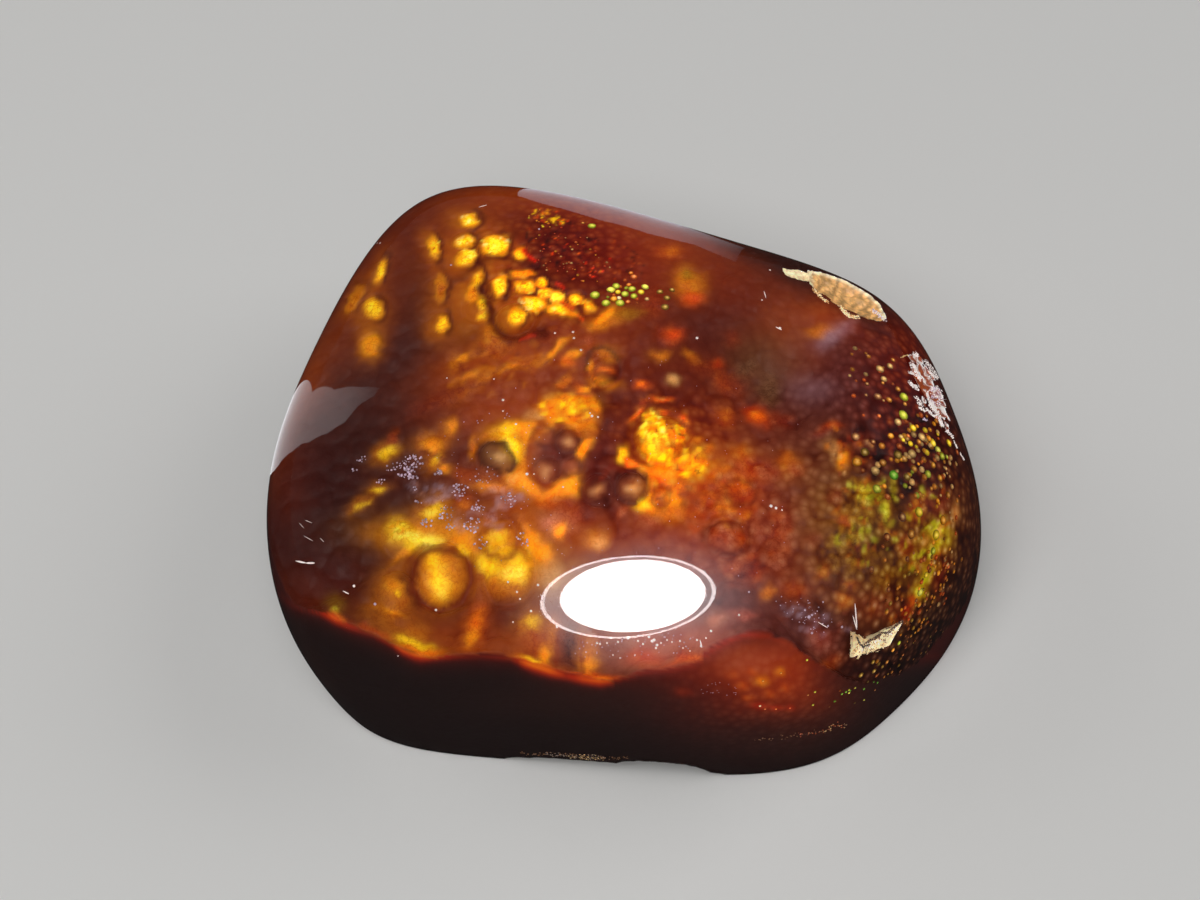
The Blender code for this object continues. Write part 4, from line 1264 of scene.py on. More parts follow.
def unseen_colour(broad, spots, tops):
    """The fire layer's colour where the photo doesn't show it."""
    colour = laid(plain("brick", broad) * 0.85, "copper", smooth(broad, -0.3, 0.5))
    # the ochre and amber spots are lighter where the cells' tops are, a painted highlight
    colour = laid(colour, "ochre", 0.7 * smooth(spots, 0.05, 0.5) * smooth(tops, 0.2, 0.8))
    colour = laid(colour, "amber", 0.6 * smooth(spots, 0.3, 0.6) * smooth(tops, 0.5, 0.95))
    return laid(colour, "wine", 0.5 * smooth(-spots, 0.1, 0.5))


def paint_core(thing):
    """Writes each vertex's colour, how much of it is foil, and how strong its fine cells are."""
    points = [vertex.co / MM for vertex in thing.data.vertices]
    u, v, apart = pixels_of(points, tree_of(thing))
    x, y, z = np.array(points).T
    under = between(layer_z, x, y) - z
    wall = smooth(under, 0.03, 0.1)
    seen = 1 - smooth(apart, SEEN_NEAR, SEEN_FAR)
    tops = between(cell_tops, x, y)
    broad = fractal_at(points, 1.9, Vector(), 0.8)
    spots = fractal_at(points, 0.9, Vector((7, 0, 0)), 0.9)

    top, foil = painted(u, v)
    celled, fine = np.zeros(len(points)), np.zeros(len(points))
    for patch in CELLED:
        celled = celled + (1 - celled) * patch[5] * edge_of(elliptic(u, v, patch), 1.5)
    for patch in FINE_CELLED:
        fine = fine + (patch[5] - fine) * edge_of(elliptic(u, v, patch), 1.5)
    top = top ** (1 + celled * (CELL_HOLLOW_SHADE + (CELL_SHINE - CELL_HOLLOW_SHADE) * tops))[..., None]

    shown = seen[..., None]
    unseen_top, unseen_side = unseen_colour(broad, spots, tops), edge_glow_under(under)
    colour = (unseen_top + (top - unseen_top) * shown) * (1 - wall[..., None])
    colour = colour + (unseen_side + (walled(u, v) - unseen_side) * shown) * wall[..., None]
    front = FRONT_CELLS * edge_of(elliptic(u, v, FRONT_CELLED), 1.4)
    unseen_fine = 0.15 + 0.5 * smooth(broad, -0.1, 0.5)
    fine = (unseen_fine + (fine - unseen_fine) * seen) * (1 - wall) + front * seen * wall
    give(thing, "paint", "FLOAT_COLOR", np.c_[colour, np.ones(len(colour))])
    give(thing, "foil", "FLOAT", foil * seen * (1 - wall))
    give(thing, "cells", "FLOAT", fine)


paint_core(core)

# --- The broken places --------------------------------------------------------------------------------

CHIP_TINTS = {  # at the lip, below it and deepest, with the depths in mm at which they give way
    "back_rim_chip": (("cream", "tan", "tan"), (0.14, 0.5)),
    "back_rim_sliver": (("cream", "cream", "tan"), (0.1, 0.3)),
    "natural_skin": (("frost", "copper", "rust"), (0.02, 0.3)),
    # the dark tints deep in the two base breaks are painted shadow under the overhanging lip
    "base_rim_notch": (("ash", "tar", "coal"), (0.05, 0.3)),
    "base_rim_break": (("ash", "coal", "coal"), (0.05, 0.3)),
    "front_pit": (("cream", "cream", "sand"), (0.12, 0.4)),
}
STREAKS = Vector((0.62, -0.62, -0.48)).normalized()  # the way the natural skin's streaks run
SKIN_DEEP = 0.004  # mm: a vertex this near the polished surface isn't in a break
BREAK_DEEP = 0.006  # mm: a face whose corners are on average deeper than this is in a break
CHIP_WAVES, CHIP_RIPPLE = 13, 0.28  # ripples across the long chip, for each mm, and how strong they are


def skin_colour(point, grain, lip, wall, floor):
    """Pale flakes, painted glints, in streaks over brown stone."""
    along = point.dot(STREAKS)
    streak = noise.fractal((point - STREAKS * along) / 0.16 + STREAKS * along / 0.9, 0.8, 2, 3)
    flake = smooth(streak + 0.25 * grain, -0.02, 0.12)
    return (wall + (floor - wall) * smooth(grain, -0.3, 0.5)) * (1 - flake) + lip * flake


def break_colour(name, point, depth, grain, lip, wall, floor):
    """A pale lip that turns darker with depth, partly the break's own colour and partly painted shade in its
    hollow, and ripples across the long chip.
    """
    near, far = CHIP_TINTS[name][1]
    share, low = smooth(depth, 0.3 * near, near), smooth(depth, near, far)
    colour = (lip * (1 - share) + wall * share) * (1 - low) + floor * low
    if name == "back_rim_chip":
        along = point.dot(Vector(CHIPS[name]["along"]).normalized())
        ripple = math.sin(along * CHIP_WAVES + 4 * noise.noise(point / 0.5))
        colour = colour * (1 + CHIP_RIPPLE * ripple)
    return colour * (1 + 0.5 * grain)


def paint_chips(thing):
    """Gives the faces that the cutters left a second material, and each vertex its broken colour."""
    middles = {name: Vector(chip["middle"]) for name, chip in CHIPS.items()}
    reaches = {name: max(chip["half"]) for name, chip in CHIPS.items()}
    middles["front_pit"], reaches["front_pit"] = PIT_MIDDLE, 1.2
    deep = []
    colours = np.ones((len(thing.data.vertices), 4))
    for index, vertex in enumerate(thing.data.vertices):
        point = vertex.co / MM
        depth = outside.find_nearest(point)[3]
        on_base = point.z <= 0.01
        deep.append(0 if on_base else depth)
        if depth < SKIN_DEEP and not on_base:
            continue
        name = min(middles, key=lambda key: (point - middles[key]).length / reaches[key])
        tints = [linear(COLOURS[tint]) for tint in CHIP_TINTS[name][0]]
        grain = noise.noise(point / 0.12)
        if name == "natural_skin":
            colour = skin_colour(point, grain, *tints)
        else:
            colour = break_colour(name, point, depth, grain, *tints)
        colours[index, :3] = np.clip(colour, 0, 1)
    for face in thing.data.polygons:
        depth = sum(deep[corner] for corner in face.vertices) / len(face.vertices)
        face.material_index = int(depth > BREAK_DEEP)
    give(thing, "paint", "FLOAT_COLOR", colours)


# --- Small bubbles, sparks and flaws ------------------------------------------------------------------

# Pixel of the middle, half width in pixels and colour.
FIRE_DOTS = (
    # green and gold under the upper foils
    (592, 226, 4.5, "lime"), (583, 223, 2, "ochre"), (595, 295, 5, "lime"), (606, 303, 4.5, "lime"),
    (611, 290, 4.5, "lemon"), (616, 286, 4, "lime"), (618, 292, 3, "gold"), (614, 299, 4, "amber"),
    (620, 303, 4.5, "lime"), (619, 298, 2.5, "cream"), (625, 294, 4, "lime"), (629, 285, 3, "orange"),
    (632, 289, 4, "lime"), (634, 296, 3.5, "lime"), (628, 302, 3, "ember"), (641, 292, 3.5, "gold"),
    (645, 287, 4, "lemon"), (647, 299, 2.5, "tan"), (660, 292, 3.5, "olive"), (672, 290, 3, "olive"),
    (667, 298, 3.5, "olive"), (665, 307, 4, "olive"), (634, 277, 4, "ember"), (631, 273, 2.5, "orange"),
    # the dotted right side
    (880, 369, 4.5, "tan"), (890, 366, 3.5, "tan"), (893, 360, 2.5, "ochre"), (884, 379, 3.5, "tan"),
    (883, 383, 2, "ochre"), (878, 397, 4.5, "clay"), (889, 400, 3.5, "ochre"), (898, 389, 3, "ochre"),
    (904, 397, 5, "lime"), (903, 415, 5.5, "lime"), (905, 404, 2.5, "ochre"), (898, 422, 4, "tan"),
    (879, 416, 2.5, "ember"), (913, 428, 4, "gold"), (891, 436, 3.5, "amber"), (901, 437, 3, "tan"),
    (903, 440, 2.5, "gold"), (908, 436, 2.5, "ember"), (922, 437, 4.5, "tan"), (919, 442, 3, "ochre"),
    (933, 443, 4, "gold"), (949, 443, 4, "gold"), (938, 450, 4, "lemon"), (942, 456, 4, "lime"),
    (947, 457, 2.5, "lime"), (957, 452, 3.5, "ember"), (873, 442, 3, "rust"), (856, 437, 5, "clay"),
    (865, 452, 4.5, "olive"), (857, 462, 5, "amber"), (867, 384, 2.5, "rust"), (866, 395, 2, "rust"),
    (868, 356, 2.5, "rust"), (898, 455, 5, "olive"), (904, 459, 4, "ochre"), (912, 454, 5, "tan"),
    (883, 463, 4, "ochre"), (875, 471, 5, "tan"), (894, 475, 5, "green"), (907, 477, 4, "olive"),
    (914, 469, 4, "ochre"), (933, 465, 3.5, "amber"), (928, 474, 4, "lime"), (940, 478, 3.5, "amber"),
    (877, 489, 4.5, "lime"), (919, 512, 5, "gold"), (902, 517, 4.5, "clay"), (911, 534, 5, "ochre"),
    (887, 537, 4, "copper"), (936, 535, 6, "gold"), (933, 551, 6, "lime"), (943, 520, 5, "amber"),
    (948, 495, 4, "ochre"), (920, 592, 6, "lemon"), (926, 575, 5, "gold"), (887, 662, 5, "ochre"),
    (888, 674, 3.5, "olive"), (874, 671, 3, "olive"), (873, 662, 2.5, "olive"), (861, 675, 3, "olive"),
    (899, 643, 3, "lime"), (893, 650, 3, "amber"), (911, 636, 2.5, "ochre"), (903, 655, 2.5, "copper"),
    (842, 694, 2.5, "green"), (846, 692, 2, "green"), (849, 690, 2, "lime"), (849, 693, 2, "lemon"),
    (855, 688, 2.2, "lime"), (864, 689, 1.6, "green"), (864, 700, 1.6, "lime"), (875, 690, 1.8, "copper"),
    (807, 660, 3, "lime"), (815, 692, 2.5, "lime"), (813, 705, 2.5, "lime"), (808, 695, 2.5, "copper"),
    # yellow and red lights on the dark front
    (763, 681, 4, "ochre"), (781, 673, 3, "ochre"), (760, 706, 3, "cream"), (765, 709, 2.5, "ember"),
    (776, 709, 3, "ember"), (790, 708, 3, "red"),
)

# Where random ones are strewn: middle and half axes in pixels, turn, how many, the half widths, the colours.
DOT_FIELDS = (
    (928, 440, 24, 34, -14, 40, (1.2, 3.4), ("tan", "gold", "ember", "amber", "ochre")),
    (905, 470, 44, 36, 0, 46, (1.4, 3.6), ("ochre", "tan", "amber", "copper", "lime")),
    (945, 530, 14, 80, 4, 46, (1.2, 3), ("amber", "ember", "ochre", "tan")),
    (930, 585, 22, 60, 28, 60, (1.2, 3), ("copper", "ochre", "ember", "amber")),
    (910, 640, 26, 50, 44, 50, (1, 2.6), ("copper", "ochre", "olive", "rust")),
    (905, 575, 34, 44, 14, 30, (1.2, 2.6), ("ochre", "olive", "copper", "clay")),
    (870, 380, 26, 40, 0, 16, (1.2, 2.6), ("ember", "tan", "ochre")),
    (560, 250, 34, 26, 14, 34, (0.7, 1.5), ("amber", "ember", "red", "tan")),
    (545, 218, 20, 9, 14, 14, (0.9, 1.8), ("amber", "gold", "orange")),
    (585, 262, 30, 20, 20, 24, (0.7, 1.8), ("ember", "tan", "red", "amber")),
    (625, 293, 26, 14, 0, 12, (1.4, 2.6), ("lime", "orange", "ember")),
    (860, 690, 40, 10, -24, 10, (0.8, 1.8), ("green", "copper", "olive")),
)

# Flaws between the fire layer and the polish: their colour, their share of the way up, and the middle and
# half width of each in pixels.
FLAWS = (
    ("frost", 0.97, ((503, 400, 2), (503, 411, 1.3), (516, 424, 1.6))),
    ("frost", 0.95, (
        (592, 416, 2), (598, 417, 1.6), (590, 413, 1.2), (555, 333, 1.6), (573, 332, 1.8),
        (574, 338, 1.8), (581, 350, 1.8),
    )),
    ("frost", 0.97, ((697, 338, 2.2), (780, 328, 2), (770, 270, 1.6), (762, 300, 1.2))),
    ("frost", 0.95, ((527, 474, 2.2), (534, 474, 1.2), (563, 487, 1.4), (447, 378, 1), (494, 379, 1.2))),
    ("frost", 0.97, (
        (436, 610, 1.8), (354, 586, 2), (398, 656, 1.2), (508, 582, 1.6), (517, 592, 1.6),
        (520, 599, 1.4), (531, 611, 1.8), (538, 585, 1.8), (513, 622, 1.2), (557, 627, 1.6),
        (597, 643, 1.6), (618, 642, 1.6), (628, 638, 2.2), (654, 640, 2.2), (657, 645, 2),
        (643, 644, 1.6), (600, 644, 1.4), (607, 643, 1.2), (611, 638, 1.2), (638, 641, 1.5),
        (649, 637, 1.8), (652, 641, 2), (656, 648, 1.6), (661, 643, 1.3), (667, 640, 1.2),
        (672, 642, 1.2), (680, 641, 1.4), (701, 646, 1.7), (706, 638, 1.3), (683, 648, 1.1),
        (690, 651, 1), (613, 655, 1), (620, 658, 1), (635, 655, 0.9), (697, 640, 1.6), (711, 631, 1.8),
        (739, 615, 1.6),
    )),
    ("lilac", 0.95, ((749, 592, 1.4),)),
    ("frost", 0.95, ((771, 506, 2.2), (776, 508, 2), (782, 510, 1.2))),
    ("lilac", 0.93, (
        (809, 617, 2.4), (812, 615, 1.6), (805, 610, 1.6), (823, 602, 1.4), (842, 627, 1.8),
        (828, 626, 1.4), (812, 633, 1.8),
    )),
    ("lilac", 0.8, ((375, 604, 2),)),
    ("frost", 0.9, ((384, 228, 1.6), (380, 243, 1.8), (377, 243, 1.2), (387, 220, 1.6))),
    ("lilac", 0.7, ((451, 265, 1.6),)), ("lilac", 0.6, ((539, 229, 1.6),)),
)

# Clouds of lilac bubbles in the clear stone: middle and half axes in pixels, turn, how many, half widths.
FLAW_CLOUDS = (
    (412, 463, 13, 9, -16, 60, (0.45, 1.2)), (407, 474, 9, 6, 0, 24, (0.6, 1.4)),
    (413, 477, 5, 3, 0, 10, (0.8, 1.3)), (415, 488, 3, 2, 0, 4, (0.7, 1.0)),
    (392, 468, 8, 6, -30, 10, (0.5, 1.0)), (382, 481, 7, 3, -14, 12, (0.5, 0.9)),
    (361, 459, 5, 4, -30, 8, (0.5, 1.0)), (355, 470, 3, 2, 0, 4, (0.7, 1.0)),
    (438, 472, 5, 4, 0, 10, (0.6, 1.3)), (460, 490, 10, 7, 10, 28, (0.5, 1.2)),
    (418, 503, 4, 3, 0, 6, (0.6, 1.2)), (446, 513, 10, 8, 0, 24, (0.5, 1.2)),
    (427, 523, 7, 5, 0, 16, (0.6, 1.2)), (450, 527, 6, 5, 0, 10, (0.6, 1.0)),
    (478, 506, 7, 6, 0, 16, (0.5, 1.1)), (472, 525, 10, 8, -30, 28, (0.5, 1.2)),
    (508, 500, 8, 8, 0, 20, (0.5, 1.1)), (480, 543, 7, 6, 0, 12, (0.5, 1.0)),
    (523, 540, 6, 9, -30, 12, (0.5, 1.0)), (485, 475, 14, 8, 0, 16, (0.4, 0.9)),
    (490, 470, 60, 60, 0, 52, (0.3, 0.6)), (640, 645, 80, 12, -4, 60, (0.25, 0.65)),
    (805, 612, 34, 14, 30, 52, (0.25, 0.65)), (720, 690, 20, 8, 0, 20, (0.25, 0.5)),
    (620, 480, 200, 130, 0, 120, (0.2, 0.45)),
)

# Scratches in the polish: points in pixels, and half width in pixels.
SCRATCHES = (
    (((296, 561), (306, 563), (315, 563)), 1.5), (((305, 520), (312, 523)), 0.4),
    (((299, 523), (304, 528)), 0.35), (((304, 536), (313, 541)), 0.4), (((320, 538), (324, 542)), 0.35),
    (((343, 591), (349, 594)), 0.9), (((479, 207), (487, 205)), 0.9), (((776, 327), (782, 330)), 1.2),
    (((764, 291), (766, 298)), 0.8), (((855, 604), (857, 628)), 1.2), (((853, 616), (857, 630)), 0.9),
    (((818, 622), (828, 628)), 0.7), (((700, 640), (702, 648)), 1),
)

# Pale crust and scrapes on the surface: points in pixels, half width in pixels, flakes for each pixel of
# length, and colours.
CRUSTS = (
    # what is left of the natural skin, whose pale flakes are painted glints
    (((914, 352), (918, 356)), 2.0, 6, ("frost",)),
    (((901, 358), (904, 356), (908, 355)), 0.5, 3, ("sand",)),
    (((911, 364), (915, 368), (919, 376), (923, 381)), 2.4, 6, ("frost",)),
    (((908, 372), (914, 374), (920, 379)), 1.3, 4, ("frost",)),
    (((925, 361), (930, 366), (933, 371), (938, 378)), 2.2, 6, ("frost",)),
    (((929, 371), (933, 375), (938, 379)), 1.5, 5, ("frost",)),
    (((909, 381), (912, 385), (917, 389)), 1.8, 6, ("frost",)),
    (((915, 384), (919, 390)), 0.9, 4, ("frost",)),
    (((930, 390), (936, 388), (941, 392)), 2.6, 7, ("frost", "lilac")),
    (((932, 396), (938, 396), (943, 400)), 3.2, 8, ("frost", "lilac")),
    (((931, 402), (937, 403), (941, 404)), 2.6, 7, ("frost", "lilac")),
    (((916, 397), (919, 402), (922, 406)), 2.2, 6, ("frost",)),
    (((919, 407), (925, 411)), 1.8, 6, ("frost",)),
    (((927, 392), (929, 400), (932, 408)), 1.4, 5, ("frost",)),
    (((930, 404), (935, 410), (939, 417)), 3.2, 8, ("frost",)),
    (((926, 409), (931, 413), (937, 418)), 1.6, 5, ("frost",)),
    (((923, 419), (927, 420)), 1.6, 6, ("lilac",)), (((939, 420), (944, 427)), 0.9, 5, ("frost",)),
    # a thin white line along the polished edge past the skin, a painted reflection
    (((946, 430), (951, 435), (953, 438)), 1.7, 6, ("frost",)),
    (((954, 441), (957, 448)), 0.7, 4, ("frost",)), (((960, 453), (964, 460)), 0.6, 4, ("frost",)),
    # the lips of the chip on the back rim
    (((813, 289), (818, 294), (823, 299), (828, 302)), 1.6, 6, ("cream", "tan")),
    (((840, 307), (846, 313), (852, 317), (859, 317)), 2.2, 7, ("cream", "cream", "tan")),
    (((872, 310), (878, 314), (885, 320)), 2.4, 7, ("frost", "lilac")),
    # the dark upper edge of the pit, painted shadow along its torn lip, and its grains
    (((857, 637), (859, 643), (863, 647), (870, 644)), 0.8, 5, ("coal", "tar")),
    (((864, 645), (870, 640), (876, 638), (882, 633), (889, 632), (895, 626), (903, 621)), 1.3, 7,
     ("coal", "tar", "bark")),
    (((856, 650), (860, 655), (857, 659)), 1.0, 4, ("cream", "sand")),
    (((864, 652), (874, 650), (886, 643)), 3.2, 3, ("bark", "ash", "sand", "cream")),
    (((853, 654), (858, 645), (862, 640)), 2.5, 5, ("cream", "sand", "bark")),
    (((858, 652), (870, 645), (884, 638), (896, 628)), 4, 5, ("cream", "frost", "bark")),
    # scrapes along the base
    (((520, 753), (545, 754)), 2.0, 0.8, ("bark",)), (((545, 754), (575, 756)), 2.4, 2, ("bark", "ash")),
    (((570, 756), (604, 758)), 2.8, 3, ("bark", "ash", "sand")),
    (((600, 758), (628, 758)), 1.6, 1.2, ("bark",)),
    (((752, 741), (770, 739), (790, 736)), 2.4, 0.4, ("bark",)),
    (((790, 736), (805, 734), (820, 731)), 2.2, 0.9, ("bark", "copper")),
    (((818, 732), (830, 729), (838, 724), (846, 727)), 2.6, 1.4, ("bark", "sand", "copper")),
)

FLAW_SCALE = 0.65  # how large the flaws and scratches are made, for their sizes in the tables
FLAKE_SCALE = 1.08  # the same for the crust's flakes
BEAD_FOIL = 0.3  # how much of a bead is foil
JUST_UNDER, LEAST_HALF = 0.015, 0.012  # mm: between a bead and the polish, and the smallest half size
# Shares of the way up: over the first a bead lies right under the polish, and over the second it faces out.
UNDER_POLISH, FACES_OUT = 0.9, 0.3


class Beads:
    """Small rounds of many sizes and colours, joined into one mesh."""

    def __init__(self, detail=2):
        ball = bmesh.new()
        bmesh.ops.create_icosphere(ball, subdivisions=detail, radius=1)
        self.ball = np.array([vertex.co for vertex in ball.verts])
        self.faces = np.array([[vertex.index for vertex in face.verts] for face in ball.faces])
        ball.free()
        self.points, self.triangles, self.paints, self.count = [], [], [], 0

    def add(self, middle, outward, half, flat, colour, rim_shade, bright=1, painted_glint=0):
        """A bead of this half size in mm, flattened along outward, with painted shade at its rim and a
        painted glint on top.
        """
        turn = np.array(outward.to_track_quat("Z", "Y").to_matrix())
        self.points.append((self.ball * (half, half, half * flat)) @ turn.T + middle)
        self.triangles.append(self.faces + self.count)
        self.count += len(self.ball)
        shade = 1 - rim_shade * (1 - np.clip(self.ball[:, 2:], 0, 1) ** 3)
        top = painted_glint * smooth(self.ball[:, 2:], 0.8, 1)
        paint = (linear(COLOURS[colour]) * shade * (1 - top) + linear(COLOURS["straw"]) * top) * bright
        self.paints.append(np.c_[paint, np.ones(len(self.ball))])

    def made(self, name):
        """The object that all the beads make."""
        thing = meshed(name, np.concatenate(self.points), np.concatenate(self.triangles).tolist())
        give(thing, "paint", "FLOAT_COLOR", np.concatenate(self.paints))
        give(thing, "foil", "FLOAT", np.full(self.count, BEAD_FOIL))
        return thing


def bead_at(beads, inside, x, y, half, colour, lift, flat=0.6, rim_shade=0.85, bright=1, painted_glint=0):
    """Puts a bead where a pixel shows it, this share of the way from the fire layer to the polish."""
    surface, normal, inner, deep, slope = looked_into(x, y, inside)
    if deep is None:
        return
    half *= MM_PER_PIXEL
    middle = deep + (surface - deep) * lift
    if lift > UNDER_POLISH:
        middle = surface + inner * min(1.2 * half + 0.03, 0.6 * (surface - deep).length)
    clearance = outside.find_nearest(middle)[3]
    half = min(half, max(clearance - JUST_UNDER, LEAST_HALF))
    outward = normal if lift > FACES_OUT else (slope + normal).normalized()
    beads.add(np.array(middle), outward, half, flat, colour, rim_shade, bright, painted_glint)


def along_line(start, end, share):
    """The pixel this share of the way along a line."""
    return (a + (b - a) * share for a, b in zip(start, end))


def fire_bubbles(inside):
    """The bubbles on the fire layer, brighter near the top and the bottom of the photo."""
    random = np.random.default_rng(7)
    beads = Beads()
    for x, y, half, colour in FIRE_DOTS:
        bright = 1.1 if 445 < y < 640 else 1.9
        bead_at(beads, inside, x, y, half, colour, 0.0, bright=bright, painted_glint=0.45)
    for field in DOT_FIELDS:
        count, halves, colours = field[5:]
        for _ in range(count):
            x, y = strewn(random, field)
            colour = colours[random.integers(len(colours))]
            bright = 1.2 * random.uniform(0.6, 1.1) ** 1.5
            half = random.uniform(*halves)
            bead_at(beads, inside, x, y, half, colour, 0.0, rim_shade=0.6, bright=bright, painted_glint=0.25)
    return beads.made("fire_bubbles")


def flaws(inside):
    """The flaws, the clouds of them and the scratches, between the fire layer and the polish."""
    random = np.random.default_rng(8)
    beads = Beads()
    for colour, lift, marks in FLAWS:
        for x, y, half in marks:
            bead_at(beads, inside, x, y, FLAW_SCALE * half, colour, lift, 1, 0)
    for field in FLAW_CLOUDS:
        count, halves = field[5:]
        for _ in range(count):
            x, y = strewn(random, field)
            lift, bright = random.uniform(0.55, 0.9), random.uniform(0.4, 1.6)
            bead_at(beads, inside, x, y, random.uniform(*halves), "lilac", lift, 1, 0.2, bright)
    for points, half in SCRATCHES:
        for start, end in zip(points, points[1:]):
            count = int(math.dist(start, end) / half / 0.7) + 1
            for step in range(count):
                x, y = along_line(start, end, step / count)
                taper = math.sin(math.pi * (0.15 + 0.7 * step / count))
                bead_at(beads, inside, x, y, FLAW_SCALE * half * taper, "frost", 0.97, 1, 0)
    return beads.made("flaws")


def crust(skin):
    """Flakes strewn along lines on the cut surface, each tilted its own way."""
    random = np.random.default_rng(9)
    beads = Beads(detail=1)
    for points, width, crowd, colours in CRUSTS:
        for start, end in zip(points, points[1:]):
            for _ in range(int(math.dist(start, end) * crowd) + 1):
                x, y = along_line(start, end, random.uniform(0, 1))
                aside, angle = random.uniform(0, 1) ** 0.7, random.uniform(0, math.tau)
                x, y = x + width * aside * math.cos(angle), y + width * aside * math.sin(angle)
                half = FLAKE_SCALE * random.uniform(0.35, 0.9) * MM_PER_PIXEL
                colour = colours[random.integers(len(colours))]
                tilt, bright = Vector(random.uniform(-0.5, 0.5, 3)), random.uniform(1.0, 1.5)
                point, normal, _, _ = skin.ray_cast(EYE, ray_through(x, y))
                if point is not None:
                    beads.add(np.array(point), normal + tilt, half, 0.4, colour, 0, bright)
    return beads.made("crust")


inside_tree = tree_of(core)
bubbles = fire_bubbles(inside_tree)
specks = flaws(inside_tree)
flakes = crust(tree_of(clear))

# --- Materials ----------------------------------------------------------------------------------------


def plug(tree, made, inputs):
    """Sets a node's inputs by name or number, or links them if another node's output is given."""
    for name, value in inputs.items():
        if isinstance(value, bpy.types.NodeSocket):
            tree.links.new(value, made.inputs[name])
        else:
            made.inputs[name].default_value = value
    return made


def attribute(tree, name, output="Fac"):
    """What give() wrote."""
    made = tree.nodes.new("ShaderNodeAttribute")
    made.attribute_name = name
    return made.outputs[output]


def math_of(tree, operation, *values):
    """A sum of numbers and other nodes' outputs."""
    made = tree.nodes.new("ShaderNodeMath")
    made.operation = operation
    return plug(tree, made, dict(enumerate(values))).outputs["Value"]


def ranged(tree, value, before, after):
    """A value moved from one range to another."""
    ends = zip(("From Min", "From Max", "To Min", "To Max"), (*before, *after))
    made = tree.nodes.new("ShaderNodeMapRange")
    return plug(tree, made, {"Value": value, **dict(ends)}).outputs["Result"]


def scaled(tree, colour, share):
    """A colour made brighter or darker."""
    made = tree.nodes.new("ShaderNodeVectorMath")
    made.operation = "SCALE"
    return plug(tree, made, {0: colour, "Scale": share}).outputs["Vector"]


def noisy(tree, place, **inputs):
    """How high a noise pattern is at each place."""
    made = tree.nodes.new("ShaderNodeTexNoise")
    return plug(tree, made, {"Vector": place, **inputs}).outputs["Fac"]


def bumped(tree, height, **inputs):
    """The normal of a surface with small bumps."""
    made = tree.nodes.new("ShaderNodeBump")
    return plug(tree, made, {"Height": height, **inputs}).outputs["Normal"]


def shader_of(material):
    """The node that gives a material its looks."""
    return material.node_tree.nodes["Principled BSDF"]


def new_material(name):
    """A material, its nodes and its shader."""
    material = bpy.data.materials.new(name)
    material.use_nodes = True
    return material, material.node_tree, shader_of(material)


def glass():
    """The clear brown stone."""
    material, tree, shader = new_material("clear_chalcedony")
    shader.inputs["Base Color"].default_value = (1, 1, 1, 1)
    shader.inputs["Transmission Weight"].default_value = 1
    shader.inputs["Roughness"].default_value = 0.02
    shader.inputs["IOR"].default_value = CHALCEDONY_IOR
    absorb = tree.nodes.new("ShaderNodeVolumeAbsorption")
    plug(tree, absorb, {"Color": (0.95, 0.8, 0.6, 1), "Density": 60})
    plug(tree, tree.nodes["Material Output"], {"Volume": absorb.outputs["Volume"]})
    return material


def fire():
    """The fire layer: its paint with a painted glow of the same colour, crackled where it is foil, and with
    fine cells.
    """
    material, tree, shader = new_material("fire_layer")
    shader.inputs["Emission Strength"].default_value = 0.55
    shader.inputs["Roughness"].default_value = 0.4
    shader.inputs["Specular IOR Level"].default_value = 0.15
    place = tree.nodes.new("ShaderNodeTexCoord").outputs["Object"]
    foil = attribute(tree, "foil")
    crinkle = noisy(tree, place, Scale=3600, Detail=3, Roughness=0.55)
    ridge = noisy(tree, place, Scale=5200, Detail=2, Distortion=0.4)
    cellular = tree.nodes.new("ShaderNodeTexVoronoi")
    plug(tree, cellular, {"Vector": place, "Scale": 3100, "Randomness": 0.9})

    from_middle = math_of(tree, "ABSOLUTE", math_of(tree, "SUBTRACT", ridge, 0.5))
    crack = ranged(tree, from_middle, (0, 0.06), (1, 0))
    wrinkled = math_of(tree, "MULTIPLY_ADD", crack, 0.7, ranged(tree, crinkle, (0.3, 0.7), (0.55, -0.3)))
    # the fine cells are lighter in their middles and darker at their edges, a painted highlight and shade
    celled = ranged(tree, cellular.outputs["Distance"], (0.1, 0.7), (-0.35, 1.1))
    flaked = math_of(tree, "MULTIPLY_ADD", foil, wrinkled, 1)
    power = math_of(tree, "MULTIPLY_ADD", attribute(tree, "cells"), celled, flaked)
    flake = tree.nodes.new("ShaderNodeGamma")
    plug(tree, flake, {"Color": attribute(tree, "paint", "Color"), "Gamma": power})
    kept = math_of(tree, "MULTIPLY_ADD", math_of(tree, "MULTIPLY", foil, crack), -0.45, 1)
    leaf = scaled(tree, flake.outputs["Color"], kept)
    # the emission is a painted glow in the paint's colour, brighter where it is foil
    glow = scaled(tree, leaf, math_of(tree, "MULTIPLY_ADD", foil, 0.6, 1))
    normal = bumped(tree, crinkle, Distance=0.00003, Strength=1)
    plug(tree, shader, {"Base Color": scaled(tree, leaf, 0.42), "Emission Color": glow, "Normal": normal})
    return material


def self_painted(name, strength, roughness):
    """A material in its mesh's paint, with a little painted glow of the same colour."""
    material, tree, shader = new_material(name)
    shader.inputs["Emission Strength"].default_value = strength
    shader.inputs["Roughness"].default_value = roughness
    paint = attribute(tree, "paint", "Color")
    plug(tree, shader, {"Base Color": paint, "Emission Color": paint})
    return material


def broken():
    """The rough stone in the chips and the pit."""
    material = self_painted("broken_skin", 0.22, 0.6)
    tree = material.node_tree
    place = tree.nodes.new("ShaderNodeTexCoord").outputs["Object"]
    grain = noisy(tree, place, Scale=9000, Detail=4)
    plug(tree, shader_of(material), {"Normal": bumped(tree, grain, Distance=0.00006)})
    return material


